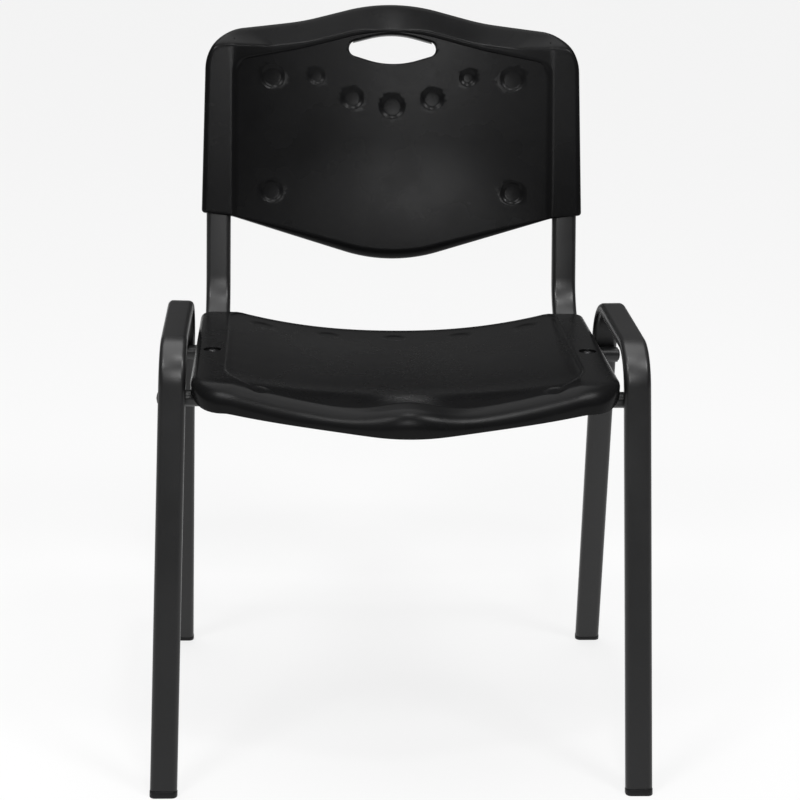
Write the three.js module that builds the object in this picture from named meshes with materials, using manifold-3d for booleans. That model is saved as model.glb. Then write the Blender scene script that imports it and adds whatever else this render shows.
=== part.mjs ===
// Stacking conference chair: two arched leg frames of flat oval tube, two cross tubes, two bent
// rails that carry the seat and rise as back uprights, and moulded seat and back shells.
// Millimetres. +Z is up, the chair faces -Y, and +X is the viewer's right from the front.

import * as THREE from "three";
import { mergeVertices } from "three/addons/utils/BufferGeometryUtils.js";
import Module from "manifold-3d";

const wasm = await Module();
wasm.setup();

// Clearances
const FIT_GAP = 0.3; // between pieces that touch
const OVERRUN = 5; // by which a cutter runs past what it cuts

// Flat oval tube of the leg frames and rails
const TUBE_WIDTH = 30;
const TUBE_THICKNESS = 15;
const TUBE_CORNER = 6;
const TUBE_WALL = 1.5;

// Leg frames, measured on the tube's centre line
const FOOT_WIDTH = 560; // over the outer faces of the legs at the floor
const FOOT_SPREAD = 450; // from front leg to rear leg at the floor
const ARCH_HEIGHT = 484;
const FRONT_ARCH_RADIUS = 48;
const REAR_ARCH_RADIUS = 70;
const FRONT_LEG_LEAN = THREE.MathUtils.degToRad(11.7);
const REAR_LEG_LEAN = THREE.MathUtils.degToRad(12.4);
const FRAME_SPLAY = THREE.MathUtils.degToRad(1.2);

// Foot glides
const GLIDE_HEIGHT = 6.5; // of the part that shows below the tube
const GLIDE_OVERLAP = 0.4; // by which the collar stands proud of the tube
const PLUG_DEPTH = 22; // that an insert reaches into a tube

// Cross tubes
const CROSS_DIAMETER = 18;
const CROSS_WALL = 1.5;
const FRONT_CROSS_DROP = 56; // below the arches' centre line
const REAR_CROSS_DROP = 68;
const CROSS_OVERHANG = 2.5; // past the outer face of the leg, plug included
const CROSS_DOME = 3;
const CROSS_PLUG_DEPTH = 12;

// Rails
const RAIL_INSET = 49.5; // from a leg's centre line at the floor in to the rail's
const RAIL_BEND_RADIUS = 70;
const RAIL_FRONT_REACH = 20; // past the middle of the front cross tube
const UPRIGHT_HEIGHT = 714;
const UPRIGHT_FOOT = 215.5; // distance back at which the upright's line would meet the rail's
const BACK_RECLINE = THREE.MathUtils.degToRad(14.1);
const RAIL_CAP = 2; // flange of the plug in the rail's front end

// Seat shell
const SEAT_OVERHANG = 20; // from a rail's centre line out to the seat's side edge
const SEAT_REAR = 185; // rear edge, from mid way between the feet
const SEAT_FRONT = 228; // front edge at the middle
const SEAT_FRONT_SLOPE = 0.272; // by which the front edge falls back towards the sides
const SEAT_FRONT_ROUND = 143;
const SEAT_CORNER = 45;
const SEAT_REAR_CORNER = 15;
const SEAT_OVER_RAIL = 8.7; // from the rail's top up to the side band's, mid way between the feet
const SEAT_WALL = 4;
const SEAT_SKIRT = 3;
const SEAT_DISH = 19; // by which the middle lies lower than the side bands
const SEAT_DISH_POWER = 2.2;
const SEAT_RAKE = 0.0289; // slope of the side bands against the rails, up to the rear
const SEAT_MID_RAKE = 0.0089; // the same for the middle of the seat
const SEAT_SIDE_ROLL = 8;
const SEAT_FRONT_ROLL = 24;
const SEAT_SIDE_LIP = 17;
const SEAT_FRONT_LIP = 26.5;
const SEAT_CORNER_LIP = 6; // by which the front lip grows towards the corners
const NOSE_DROP = 3.2; // by which the front hangs lower at its middle
const NOSE_HALF_WIDTH = 68;
const POMMEL_RISE = 7;
const POMMEL_HALF_WIDTH = 42;
const POMMEL_LENGTH = 85;
const SEAT_LIP = 12; // between the front edge and the sunken panel
const SEAT_REAR_LIP = 8; // the same at the rear
const SEAT_PANEL_ROUND = 336; // of the panel's front edge
const SEAT_PANEL_CORNER = 80;

// Bands and recesses that both shells share
const BAND = 38; // width of the raised bands over the tubes
const RECESS = 2.5;
const SEAT_STEP_WIDTH = 3; // of the slope from the seat's bands down to its panel
const BACK_STEP_WIDTH = 6.4; // the same on the back

// Back shell, in its own plane from the lower edge of its sleeves
const BACK_OVERHANG = 21; // from an upright's centre line out to the shell's side edge
const BACK_SLEEVE_FOOT = 560; // height of the sleeves' lower edge
const BACK_TAPER = 5; // by which each side draws in up to the shoulder
const BACK_TOP = 271;
const BACK_TOP_ROUND = 218;
const BACK_TOP_BAND = 36; // from the top edge down to the sunken panel
const BACK_BROW = 112; // half width at which the top edge turns towards the shoulder
const BACK_BROW_DROP = 30.4; // below the top edge's corner
const BACK_BROW_ROUND = 300;
const BACK_SHOULDER_DROP = 47.8; // the same for the shoulder
const BACK_SHOULDER_ROUND = 54;
const BACK_BOTTOM = 64;
const BACK_BOTTOM_ROUND = 203;
const BACK_SLEEVE_DROP = 4.3;
const BACK_SLEEVE_ROUND = 40;
const BACK_CORNER = 4;
const BACK_WALL = 3.5;
const BACK_RIM_WALL = 3.2;
const BACK_ROLL = 6; // rounding of the front edge at the sides
const BACK_FOOT_ROLL = 2.5; // the same at the sleeves' lower edges
const BACK_LIP_ROLL = 11; // the same at the middle of the lower edge
const BACK_GRIP_ROLL = 16; // the same at the middle of the top edge
const BACK_GRIP_DROP = 9; // by which that rounding falls back
const BACK_SAG = 22; // by which the middle lies behind the sleeves
const BACK_LUMBAR = 6; // by which the lower edge comes forward again
const SLEEVE_WALL = 3;

// Hand hole
const HAND_HOLE_DEPTH = 64.4; // of its middle below the top edge's corner
const HAND_HOLE_HALF_WIDTH = 79.5; // of the diamond before its ends are rounded
const HAND_HOLE_RISE = 21;
const HAND_HOLE_DROP = 23.3;
const HAND_HOLE_ROUND = 109;
const HAND_HOLE_END = 9;
const HAND_HOLE_UPPER_LIP = 8;
const HAND_HOLE_LOWER_LIP = 3;

// Round dimples
const DIMPLE_DEPTH = 1;
const SEAT_DIMPLE_RADIUS = 14;
const SEAT_DIMPLE_ROW = 42; // from the seat's rear edge
const SEAT_FRONT_DIMPLE_RADIUS = 12;
const SEAT_FRONT_DIMPLE_ROW = 64; // from the front edge's foremost point

// Screws
const SCREW_DIAMETER = 4.5;
const SCREW_HEAD = 9;
const SCREW_HEAD_HEIGHT = 2.6;
const SEAT_SCREW_LENGTH = 16;
const CROSS_SCREW_LENGTH = 25;
const BACK_SCREW_LENGTH = 14;
const SCREW_WELL = 20; // diameter of the well round a seat screw
const SCREW_WELL_DEPTH = 3.5;
const SEAT_SCREW_REACH = 13; // ahead of mid way between the feet
const BOSS_DIAMETER = 16;
const BACK_SCREW_RISE = 28; // above the sleeves' lower edge

// Smoothness of the solids
const CORNER_STEPS = 3;
const BEND_STEPS = 8;
const ROUND_STEPS = 16;
const ARC_STEP = 16; // longest chord in a rounded corner
const OUTLINE_STEP = 40; // longest straight stretch in a shell's outline

// Finishes
const finish = (color, roughness, metalness) => () =>
  new THREE.MeshStandardMaterial({ color, roughness, metalness });
const powderCoat = finish(0x1c1c1d, 0.5, 0.3);
const shellPlastic = finish(0x18181a, 0.62, 0);
const plugPlastic = finish(0x101011, 0.55, 0);
const screwSteel = finish(0x2a2a2b, 0.4, 0.8);

// Solids and booleans

function closed(geometry) {
  geometry.deleteAttribute("normal");
  geometry.deleteAttribute("uv");
  return mergeVertices(geometry);
}

function toManifold(geometry) {
  const whole = closed(geometry.clone());
  return new wasm.Manifold(
    new wasm.Mesh({
      numProp: 3,
      vertProperties: new Float32Array(whole.attributes.position.array),
      triVerts: new Uint32Array(whole.index.array),
    })
  );
}

function fromManifold(solid) {
  const { vertProperties, triVerts } = solid.getMesh();
  const geometry = new THREE.BufferGeometry();
  geometry.setAttribute("position", new THREE.BufferAttribute(new Float32Array(vertProperties), 3));
  geometry.setIndex(new THREE.BufferAttribute(new Uint32Array(triVerts), 1));
  return geometry;
}

const cut = (body, cutters) =>
  fromManifold(cutters.reduce((rest, cutter) => rest.subtract(toManifold(cutter)), toManifold(body)));

const join = (body, additions) =>
  fromManifold(additions.reduce((whole, piece) => whole.add(toManifold(piece)), toManifold(body)));

// Outlines

// Points along an outline whose corners are rounded. A corner is [x, y, radius].
function roundedOutline(corners) {
  const points = [];
  corners.forEach(([x, y, radius], i) => {
    const corner = new THREE.Vector2(x, y);
    const before = new THREE.Vector2(...corners.at(i - 1));
    const after = new THREE.Vector2(...corners[(i + 1) % corners.length]);
    const a = before.sub(corner).normalize();
    const b = after.sub(corner).normalize();
    const half = Math.acos(THREE.MathUtils.clamp(a.dot(b), -1, 1)) / 2;
    const middle = a.clone().add(b).normalize().multiplyScalar(radius / Math.sin(half)).add(corner);
    const start = a.clone().multiplyScalar(radius / Math.tan(half)).add(corner).sub(middle);
    const turn = (Math.PI - 2 * half) * Math.sign(b.cross(a));
    const quarters = Math.abs(turn) / (Math.PI / 2);
    const chords = (Math.abs(turn) * radius) / ARC_STEP;
    const steps = Math.ceil(Math.max(quarters * CORNER_STEPS, chords));
    for (let k = 0; k <= steps; k++) {
      points.push(start.clone().rotateAround(new THREE.Vector2(), (turn * k) / steps).add(middle));
    }
  });
  return points;
}

// The same outline with its long stretches split into even steps.
function splitLong(points, longest) {
  return points.flatMap((point, i) => {
    const next = points[(i + 1) % points.length];
    const count = Math.max(1, Math.ceil(point.distanceTo(next) / longest));
    return Array.from({ length: count }, (_, k) => point.clone().lerp(next, k / count));
  });
}

function flatOval(width, thickness, corner) {
  const x = width / 2;
  const y = thickness / 2;
  return roundedOutline([
    [x, -y, corner],
    [x, y, corner],
    [-x, y, corner],
    [-x, -y, corner],
  ]);
}

const mirrored = (half) => [...half, ...half.toReversed().map(([x, y, r]) => [-x, y, r])];

// Unit normals of an outline that runs anticlockwise, pointing out.
function outwardNormals(points) {
  return points.map((_, i) => {
    const along = points[(i + 1) % points.length].clone().sub(points.at(i - 1));
    return new THREE.Vector2(along.y, -along.x).normalize();
  });
}

const inset = (points, distance) => {
  const normals = outwardNormals(points);
  return points.map((point, i) => point.clone().addScaledVector(normals[i], -distance));
};

// Where the ray from the middle through each point crosses another outline.
function cast(points, middle, outline) {
  return points.map((point) => {
    const ray = point.clone().sub(middle);
    let reach = 0;
    outline.forEach((a, i) => {
      const edge = outline[(i + 1) % outline.length].clone().sub(a);
      const from = a.clone().sub(middle);
      const scale = ray.cross(edge);
      const t = from.cross(edge) / scale;
      const s = from.cross(ray) / scale;
      if (s >= 0 && s <= 1 && t > 0) reach = Math.max(reach, t);
    });
    return middle.clone().addScaledVector(ray, reach);
  });
}

// Skins

// One closed skin through rings of points, its ends closed by fans round two poles.
function skin(firstPole, rings, lastPole) {
  const count = rings[0].length;
  const points = [firstPole, ...rings.flat(), lastPole];
  const index = [];
  const at = (ring, k) => 1 + ring * count + (k % count);
  for (let k = 0; k < count; k++) {
    index.push(0, at(0, k), at(0, k + 1));
    index.push(points.length - 1, at(rings.length - 1, k + 1), at(rings.length - 1, k));
    for (let ring = 0; ring + 1 < rings.length; ring++) {
      index.push(at(ring, k), at(ring + 1, k), at(ring + 1, k + 1));
      index.push(at(ring, k), at(ring + 1, k + 1), at(ring, k + 1));
    }
  }
  const geometry = new THREE.BufferGeometry().setFromPoints(points);
  geometry.setIndex(index);
  return signedVolume(geometry) < 0 ? turned(geometry) : geometry;
}

function signedVolume(geometry) {
  const { position } = geometry.attributes;
  const [a, b, c] = [new THREE.Vector3(), new THREE.Vector3(), new THREE.Vector3()];
  let sum = 0;
  for (let i = 0; i < geometry.index.count; i += 3) {
    a.fromBufferAttribute(position, geometry.index.getX(i));
    b.fromBufferAttribute(position, geometry.index.getX(i + 1));
    c.fromBufferAttribute(position, geometry.index.getX(i + 2));
    sum += a.dot(b.cross(c));
  }
  return sum / 6;
}

function turned(geometry) {
  geometry.setIndex(Array.from(geometry.index.array).reverse());
  return geometry;
}

// A ring of points over an outline, each lifted to the height that a surface has there.
const lift = (outline, surface) => outline.map((p) => new THREE.Vector3(p.x, p.y, surface(p.x, p.y)));

const shrink = (outline, middle, share) => outline.map((p) => middle.clone().lerp(p, share));

// Rings over a panel, as shares of the way from its middle to its outline.
const ringShares = [0.25, 0.5, 0.75, 1];

// A solid between two surfaces over one outline.
function between(outline, middle, lower, upper) {
  const rings = [
    ...ringShares.map((share) => lift(shrink(outline, middle, share), lower)),
    ...ringShares.toReversed().map((share) => lift(shrink(outline, middle, share), upper)),
  ];
  const pole = (surface) => new THREE.Vector3(middle.x, middle.y, surface(middle.x, middle.y));
  return skin(pole(lower), rings, pole(upper));
}

// Tubes

// A bent route in the plane x = 0, given by corners [y, z, radius] between two plain ends.
class BentRoute extends THREE.Curve {
  constructor(start, corners, end) {
    super();
    const stations = [new THREE.Vector2(...start)];
    corners.forEach(([y, z, radius], i) => {
      const corner = new THREE.Vector2(y, z);
      const before = new THREE.Vector2(...(i ? corners[i - 1] : start));
      const after = new THREE.Vector2(...(corners[i + 1] ?? end));
      const a = before.sub(corner).normalize();
      const b = after.sub(corner).normalize();
      const half = Math.acos(a.dot(b)) / 2;
      const middle = a.clone().add(b).normalize().multiplyScalar(radius / Math.sin(half)).add(corner);
      const first = a.clone().multiplyScalar(radius / Math.tan(half)).add(corner).sub(middle);
      const turn = (Math.PI - 2 * half) * Math.sign(b.cross(a));
      for (let k = 0; k <= BEND_STEPS; k++) {
        stations.push(first.clone().rotateAround(new THREE.Vector2(), (turn * k) / BEND_STEPS).add(middle));
      }
    });
    stations.push(new THREE.Vector2(...end));
    this.stations = stations.map((p) => new THREE.Vector3(0, p.x, p.y));
  }

  get steps() {
    return this.stations.length - 1;
  }

  getSpacedPoints() {
    return this.stations;
  }

  computeFrenetFrames() {
    const across = new THREE.Vector3(1, 0, 0);
    const tangents = this.stations.map((point, i) => {
      const last = this.stations[Math.max(0, i - 1)];
      const next = this.stations[Math.min(this.steps, i + 1)];
      const before = point.clone().sub(last).normalize();
      const after = next.clone().sub(point).normalize();
      return before.add(after).normalize();
    });
    return {
      tangents,
      normals: tangents.map(() => across),
      binormals: tangents.map((tangent) => tangent.clone().cross(across)),
    };
  }
}

// Flat oval tube along a route. A gap of zero or more swells it, and a wall of zero fills it.
function ovalTube(route, swell, wall) {
  const shape = new THREE.Shape(
    flatOval(TUBE_WIDTH + 2 * swell, TUBE_THICKNESS + 2 * swell, TUBE_CORNER + swell)
  );
  if (wall > 0) {
    const bore = flatOval(TUBE_WIDTH - 2 * wall, TUBE_THICKNESS - 2 * wall, TUBE_CORNER - wall);
    shape.holes.push(new THREE.Path(bore.toReversed()));
  }
  return closed(new THREE.ExtrudeGeometry(shape, { steps: route.steps, extrudePath: route }));
}

function disc(radius, from, to, steps = ROUND_STEPS) {
  const geometry = new THREE.CylinderGeometry(radius, radius, to - from, steps);
  geometry.rotateX(Math.PI / 2);
  geometry.translate(0, 0, (from + to) / 2);
  return closed(geometry);
}

// Places that the pieces share

const frontLegY = (z) => -FOOT_SPREAD / 2 + z * Math.tan(FRONT_LEG_LEAN);
const rearLegY = (z) => FOOT_SPREAD / 2 - z * Math.tan(REAR_LEG_LEAN);
const legX = (z) => FOOT_WIDTH / 2 - TUBE_WIDTH / 2 - z * Math.tan(FRAME_SPLAY);
const legToCross = TUBE_THICKNESS / 2 + CROSS_DIAMETER / 2 + FIT_GAP;
const frontCrossZ = ARCH_HEIGHT - FRONT_CROSS_DROP;
const rearCrossZ = ARCH_HEIGHT - REAR_CROSS_DROP;
const frontCross = {
  y: frontLegY(frontCrossZ) + legToCross / Math.cos(FRONT_LEG_LEAN),
  z: frontCrossZ,
};
const rearCross = {
  y: rearLegY(rearCrossZ) - legToCross / Math.cos(REAR_LEG_LEAN),
  z: rearCrossZ,
};

// The rails lie on both cross tubes, so their slope follows the tubes.
const railSlope = (rearCross.z - frontCross.z) / (rearCross.y - frontCross.y);
const railLift = (CROSS_DIAMETER / 2 + FIT_GAP + TUBE_THICKNESS / 2) / Math.cos(Math.atan(railSlope));
const railZ = (y) => frontCross.z + railLift + (y - frontCross.y) * railSlope;
const railTopZ = (y) => railZ(y) + TUBE_THICKNESS / 2 / Math.cos(Math.atan(railSlope));
const railFrontY = frontCross.y - RAIL_FRONT_REACH;
const railX = FOOT_WIDTH / 2 - TUBE_WIDTH / 2 - RAIL_INSET;
const uprightY = (z) => UPRIGHT_FOOT + (z - railZ(UPRIGHT_FOOT)) * Math.tan(BACK_RECLINE);

const railRoute = (frontY) =>
  new BentRoute(
    [frontY, railZ(frontY)],
    [[UPRIGHT_FOOT, railZ(UPRIGHT_FOOT), RAIL_BEND_RADIUS]],
    [uprightY(UPRIGHT_HEIGHT), UPRIGHT_HEIGHT]
  );

// Places of the seat's bosses and of its row of dimples, as shares of its panel's half width.
const bossShare = 0.76;
const dimplePitchShare = 0.405;
const seatHalf = railX + SEAT_OVERHANG;
const seatPanelHalf = seatHalf - BAND;
const bossX = bossShare * seatPanelHalf;

const chair = new THREE.Group();

function add(parent, name, geometry, material) {
  const mesh = new THREE.Mesh(geometry, material);
  mesh.name = name;
  parent.add(mesh);
  return mesh;
}

// Leg frames and foot glides

// Distance up a leg's centre line from the floor to the tube's cut end.
const tubeEnd = GLIDE_HEIGHT + FIT_GAP;

function legRoute() {
  const front = (distance) => [
    -FOOT_SPREAD / 2 + distance * Math.sin(FRONT_LEG_LEAN),
    distance * Math.cos(FRONT_LEG_LEAN),
  ];
  const rear = (distance) => [
    FOOT_SPREAD / 2 - distance * Math.sin(REAR_LEG_LEAN),
    distance * Math.cos(REAR_LEG_LEAN),
  ];
  return new BentRoute(
    front(tubeEnd),
    [
      [frontLegY(ARCH_HEIGHT), ARCH_HEIGHT, FRONT_ARCH_RADIUS],
      [rearLegY(ARCH_HEIGHT), ARCH_HEIGHT, REAR_ARCH_RADIUS],
    ],
    rear(tubeEnd)
  );
}

// A glide stands on the floor, which lies at the splay's angle in the leg frame's own plane.
function footGlide(splay, lean, y) {
  const collar = flatOval(
    TUBE_WIDTH + 2 * GLIDE_OVERLAP,
    TUBE_THICKNESS + 2 * GLIDE_OVERLAP,
    TUBE_CORNER + GLIDE_OVERLAP
  );
  const play = TUBE_WALL + FIT_GAP;
  const insert = flatOval(TUBE_WIDTH - 2 * play, TUBE_THICKNESS - 2 * play, TUBE_CORNER - play);
  const collarSolid = new THREE.ExtrudeGeometry(new THREE.Shape(collar), {
    depth: GLIDE_HEIGHT + OVERRUN,
    bevelEnabled: false,
  });
  collarSolid.translate(0, 0, -OVERRUN);
  const insertSolid = new THREE.ExtrudeGeometry(new THREE.Shape(insert), {
    depth: PLUG_DEPTH + GLIDE_HEIGHT,
    bevelEnabled: false,
  });
  const whole = join(collarSolid, [insertSolid]);
  whole.rotateX(-lean);
  whole.translate(0, y, 0);
  const span = TUBE_WIDTH * 2;
  const floor = new THREE.BoxGeometry(span, span, span);
  floor.translate(0, y, -span / 2);
  floor.rotateY(splay);
  return cut(whole, [floor]);
}

for (const [side, name] of [
  [-1, "left"],
  [1, "right"],
]) {
  const frame = new THREE.Group();
  frame.position.x = side * (FOOT_WIDTH / 2 - TUBE_WIDTH / 2);
  frame.rotation.y = -side * FRAME_SPLAY;
  add(frame, `${name}_leg_frame`, ovalTube(legRoute(), 0, TUBE_WALL), powderCoat());
  const splay = side * FRAME_SPLAY;
  const front = footGlide(splay, FRONT_LEG_LEAN, -FOOT_SPREAD / 2);
  const rear = footGlide(splay, -REAR_LEG_LEAN, FOOT_SPREAD / 2);
  add(frame, `front_${name}_foot_glide`, front, plugPlastic());
  add(frame, `rear_${name}_foot_glide`, rear, plugPlastic());
  chair.add(frame);
}

// Cross tubes and their end plugs

function crossTube(halfLength) {
  const shape = new THREE.Shape().absarc(0, 0, CROSS_DIAMETER / 2, 0, 2 * Math.PI);
  shape.holes.push(new THREE.Path().absarc(0, 0, CROSS_DIAMETER / 2 - CROSS_WALL, 0, 2 * Math.PI));
  const geometry = new THREE.ExtrudeGeometry(shape, {
    depth: 2 * halfLength,
    bevelEnabled: false,
    curveSegments: ROUND_STEPS / 2,
  });
  geometry.translate(0, 0, -halfLength);
  geometry.rotateY(Math.PI / 2);
  return closed(geometry);
}

// Domed plug, its flange at zero and its insert running down -Z.
function crossPlug() {
  const outer = CROSS_DIAMETER / 2;
  const inner = outer - CROSS_WALL - FIT_GAP;
  const dome = Array.from({ length: CORNER_STEPS + 1 }, (_, k) => {
    const angle = (k / CORNER_STEPS) * (Math.PI / 2);
    return [k === CORNER_STEPS ? 0 : outer * Math.cos(angle), CROSS_DOME * Math.sin(angle)];
  });
  const profile = [[0, -CROSS_PLUG_DEPTH], [inner, -CROSS_PLUG_DEPTH], [inner, 0], ...dome];
  const geometry = new THREE.LatheGeometry(profile.map(([r, z]) => new THREE.Vector2(r, z)), ROUND_STEPS);
  geometry.rotateX(Math.PI / 2);
  return closed(geometry);
}

for (const [cross, name] of [
  [frontCross, "front"],
  [rearCross, "rear"],
]) {
  const reach = legX(cross.z) + TUBE_WIDTH / 2 + CROSS_OVERHANG;
  const halfLength = reach - CROSS_DOME - FIT_GAP;
  const bar = new THREE.Group();
  bar.position.set(0, cross.y, cross.z);
  const tube = name === "front" ? cut(crossTube(halfLength), bossScrewHoles()) : crossTube(halfLength);
  add(bar, `${name}_cross_tube`, tube, powderCoat());
  for (const [side, sideName] of [
    [-1, "left"],
    [1, "right"],
  ]) {
    const plug = add(bar, `${name}_${sideName}_cross_plug`, crossPlug(), plugPlastic());
    plug.position.x = side * (halfLength + FIT_GAP);
    plug.rotation.y = (side * Math.PI) / 2;
  }
  chair.add(bar);
}

// Upright holes through the front cross tube for the screws into the seat's bosses.
function bossScrewHoles() {
  return [-1, 1].map((side) => {
    const reach = CROSS_DIAMETER;
    return disc(SCREW_DIAMETER / 2 + FIT_GAP, -reach, reach).translate(side * bossX, 0, 0);
  });
}

// Rails

// Place and turn of the back shell's own frame, which the uprights share.
const backTurn = Math.PI / 2 - BACK_RECLINE;
const sleeveFoot = new THREE.Vector3(0, uprightY(BACK_SLEEVE_FOOT), BACK_SLEEVE_FOOT);

const seatScrewY = -SEAT_SCREW_REACH;

// Hole in the rail's upper wall for the seat screw, and in the upright's rear wall for the back's.
function railScrewHoles() {
  const seatScrewTop = railTopZ(seatScrewY);
  const seatHole = disc(SCREW_DIAMETER / 2 + FIT_GAP, -TUBE_THICKNESS / 2, OVERRUN);
  seatHole.translate(0, seatScrewY, seatScrewTop);
  const backHole = disc(SCREW_DIAMETER / 2 + FIT_GAP, -TUBE_THICKNESS, 0);
  backHole.translate(0, BACK_SCREW_RISE, 0);
  backHole.rotateX(backTurn);
  backHole.translate(sleeveFoot.x, sleeveFoot.y, sleeveFoot.z);
  return [seatHole, backHole];
}

// Plug with a thin flange over the rail's front end.
function railPlug() {
  const face = new THREE.Shape(flatOval(TUBE_WIDTH, TUBE_THICKNESS, TUBE_CORNER));
  const flange = new THREE.ExtrudeGeometry(face, { depth: RAIL_CAP, bevelEnabled: false });
  const play = TUBE_WALL + FIT_GAP;
  const section = flatOval(TUBE_WIDTH - 2 * play, TUBE_THICKNESS - 2 * play, TUBE_CORNER - play);
  const insert = new THREE.ExtrudeGeometry(new THREE.Shape(section), {
    depth: PLUG_DEPTH + RAIL_CAP,
    bevelEnabled: false,
  });
  const whole = join(flange, [insert]);
  whole.translate(0, 0, -RAIL_CAP - FIT_GAP);
  whole.rotateX(-Math.PI / 2 + Math.atan(railSlope));
  whole.translate(0, railFrontY, railZ(railFrontY));
  return whole;
}

for (const [side, name] of [
  [-1, "left"],
  [1, "right"],
]) {
  const rail = new THREE.Group();
  rail.position.x = side * railX;
  const tube = cut(ovalTube(railRoute(railFrontY), 0, TUBE_WALL), railScrewHoles());
  add(rail, `${name}_back_rail`, tube, powderCoat());
  add(rail, `${name}_rail_plug`, railPlug(), plugPlastic());
  chair.add(rail);
}

// Seat shell

const seatMiddle = new THREE.Vector2(0, (SEAT_REAR - SEAT_FRONT) / 2);
const seatFrontPoint = SEAT_FRONT + SEAT_FRONT_ROUND * (Math.hypot(1, SEAT_FRONT_SLOPE) - 1);

const seatOutline = splitLong(
  roundedOutline([
    [0, -seatFrontPoint, SEAT_FRONT_ROUND],
    [seatHalf, -seatFrontPoint + SEAT_FRONT_SLOPE * seatHalf, SEAT_CORNER],
    [seatHalf, SEAT_REAR, SEAT_REAR_CORNER],
    [-seatHalf, SEAT_REAR, SEAT_REAR_CORNER],
    [-seatHalf, -seatFrontPoint + SEAT_FRONT_SLOPE * seatHalf, SEAT_CORNER],
  ]),
  OUTLINE_STEP
);

// Outline of the sunken panel.
const seatPanelOutline = roundedOutline([
  [0, SEAT_LIP - seatFrontPoint, SEAT_PANEL_ROUND],
  [seatPanelHalf, SEAT_LIP - seatFrontPoint + SEAT_FRONT_SLOPE * seatPanelHalf, SEAT_PANEL_CORNER],
  [seatPanelHalf, SEAT_REAR - SEAT_REAR_LIP, BAND / 2],
  [-seatPanelHalf, SEAT_REAR - SEAT_REAR_LIP, BAND / 2],
  [-seatPanelHalf, SEAT_LIP - seatFrontPoint + SEAT_FRONT_SLOPE * seatPanelHalf, SEAT_PANEL_CORNER],
]);

const seatSide = (y) => railTopZ(y) + SEAT_OVER_RAIL + y * SEAT_RAKE;

// Width of the dish as a share of the panel's.
const dishShare = 0.96;

// Height of the shell's top without its pommel and its sunken panel.
function seatBase(x, y) {
  const middle = railTopZ(y) + SEAT_OVER_RAIL - SEAT_DISH + y * SEAT_MID_RAKE;
  const share = Math.min(1, Math.abs(x) / (dishShare * seatPanelHalf)) ** SEAT_DISH_POWER;
  return THREE.MathUtils.lerp(middle, seatSide(y), share);
}

function pommel(x, y) {
  const along = THREE.MathUtils.smoothstep(-y, SEAT_FRONT - POMMEL_LENGTH, SEAT_FRONT - SEAT_FRONT_ROLL);
  return POMMEL_RISE * along * Math.exp(-((x / POMMEL_HALF_WIDTH) ** 2));
}

const seatTop = (x, y) => seatBase(x, y) + pommel(x, y);

// Share of the skirt's height that a rounded edge may take.
const rollShare = 0.8;

// Outline of the underside as a share of the panel's.
const undersideShare = 0.96;

function seatShell() {
  const normals = outwardNormals(seatOutline);
  const inward = (distance) => seatOutline.map((p, i) => p.clone().addScaledVector(normals[i], -distance(i)));
  const front = normals.map((n) => THREE.MathUtils.smoothstep(-n.y, 0, 1));
  const roll = front.map((share) => THREE.MathUtils.lerp(SEAT_SIDE_ROLL, SEAT_FRONT_ROLL, share));
  const nose = (x) => NOSE_DROP * Math.exp(-((x / NOSE_HALF_WIDTH) ** 2));
  const corner = (x) => SEAT_CORNER_LIP * (x / seatHalf) ** 2;
  const shoulder = inward((i) => roll[i]);
  const lip = shoulder.map(({ x }, i) =>
    THREE.MathUtils.lerp(SEAT_SIDE_LIP, SEAT_FRONT_LIP + nose(x) + corner(x), front[i])
  );
  const lowest = shoulder.map((p, i) => seatBase(p.x, p.y) - lip[i]);
  const depth = shoulder.map((p, i) => Math.min(roll[i], (seatTop(p.x, p.y) - lowest[i]) * rollShare));

  // Height at a point on the way in from the outline's point i, which rolls down towards the edge.
  const rolled = (p, i, sunk) => {
    const distance = seatOutline[i].clone().sub(p).dot(normals[i]);
    const reach = THREE.MathUtils.clamp(1 - distance / roll[i], 0, 1);
    return seatTop(p.x, p.y) - sunk - depth[i] * (1 - Math.sqrt(1 - reach ** 2));
  };
  const place = (points, height) => points.map((p, i) => new THREE.Vector3(p.x, p.y, height(p, i)));
  const sunken = (p, i) => rolled(p, i, RECESS);
  const under = (p, i) => rolled(p, i, RECESS + SEAT_WALL);

  const panel = cast(seatOutline, seatMiddle, seatPanelOutline);
  const crest = inset(panel, -SEAT_STEP_WIDTH);
  const rings = ringShares.map((share) => place(shrink(panel, seatMiddle, share), sunken));
  rings.push(place(crest, (p, i) => rolled(p, i, 0)));
  const steps = CORNER_STEPS + 2;
  for (let k = 1; k <= steps; k++) {
    const share = Math.sin((k / steps) * (Math.PI / 2));
    rings.push(place(crest.map((p, i) => p.clone().lerp(seatOutline[i], share)), (p, i) => rolled(p, i, 0)));
  }
  rings.push(place(seatOutline, (_, i) => lowest[i]));
  const inner = inset(seatOutline, SEAT_SKIRT);
  rings.push(place(inner, (_, i) => lowest[i]));
  rings.push(place(inner, (p, i) => Math.max(lowest[i] + SEAT_SKIRT, under(p, i))));
  rings.push(place(inward(() => SEAT_SIDE_ROLL), under));
  for (const share of ringShares.toReversed()) {
    rings.push(place(shrink(panel, seatMiddle, share * undersideShare), under));
  }
  const { x, y } = seatMiddle;
  const top = seatTop(x, y) - RECESS;
  return skin(new THREE.Vector3(x, y, top), rings, new THREE.Vector3(x, y, top - SEAT_WALL));
}

// Ribs across each side channel, which rest on the rail.
function seatPads() {
  const rows = [frontCross.y, seatScrewY, rearCross.y];
  return [-1, 1].flatMap((side) =>
    rows.map((y) => {
      const top = seatSide(y) - SEAT_WALL / 2 - RECESS;
      const bottom = railTopZ(y) - TUBE_THICKNESS / 4;
      const pad = new THREE.BoxGeometry(TUBE_WIDTH, BOSS_DIAMETER, top - bottom);
      return pad.translate(side * railX, y, (top + bottom) / 2);
    })
  );
}

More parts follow.
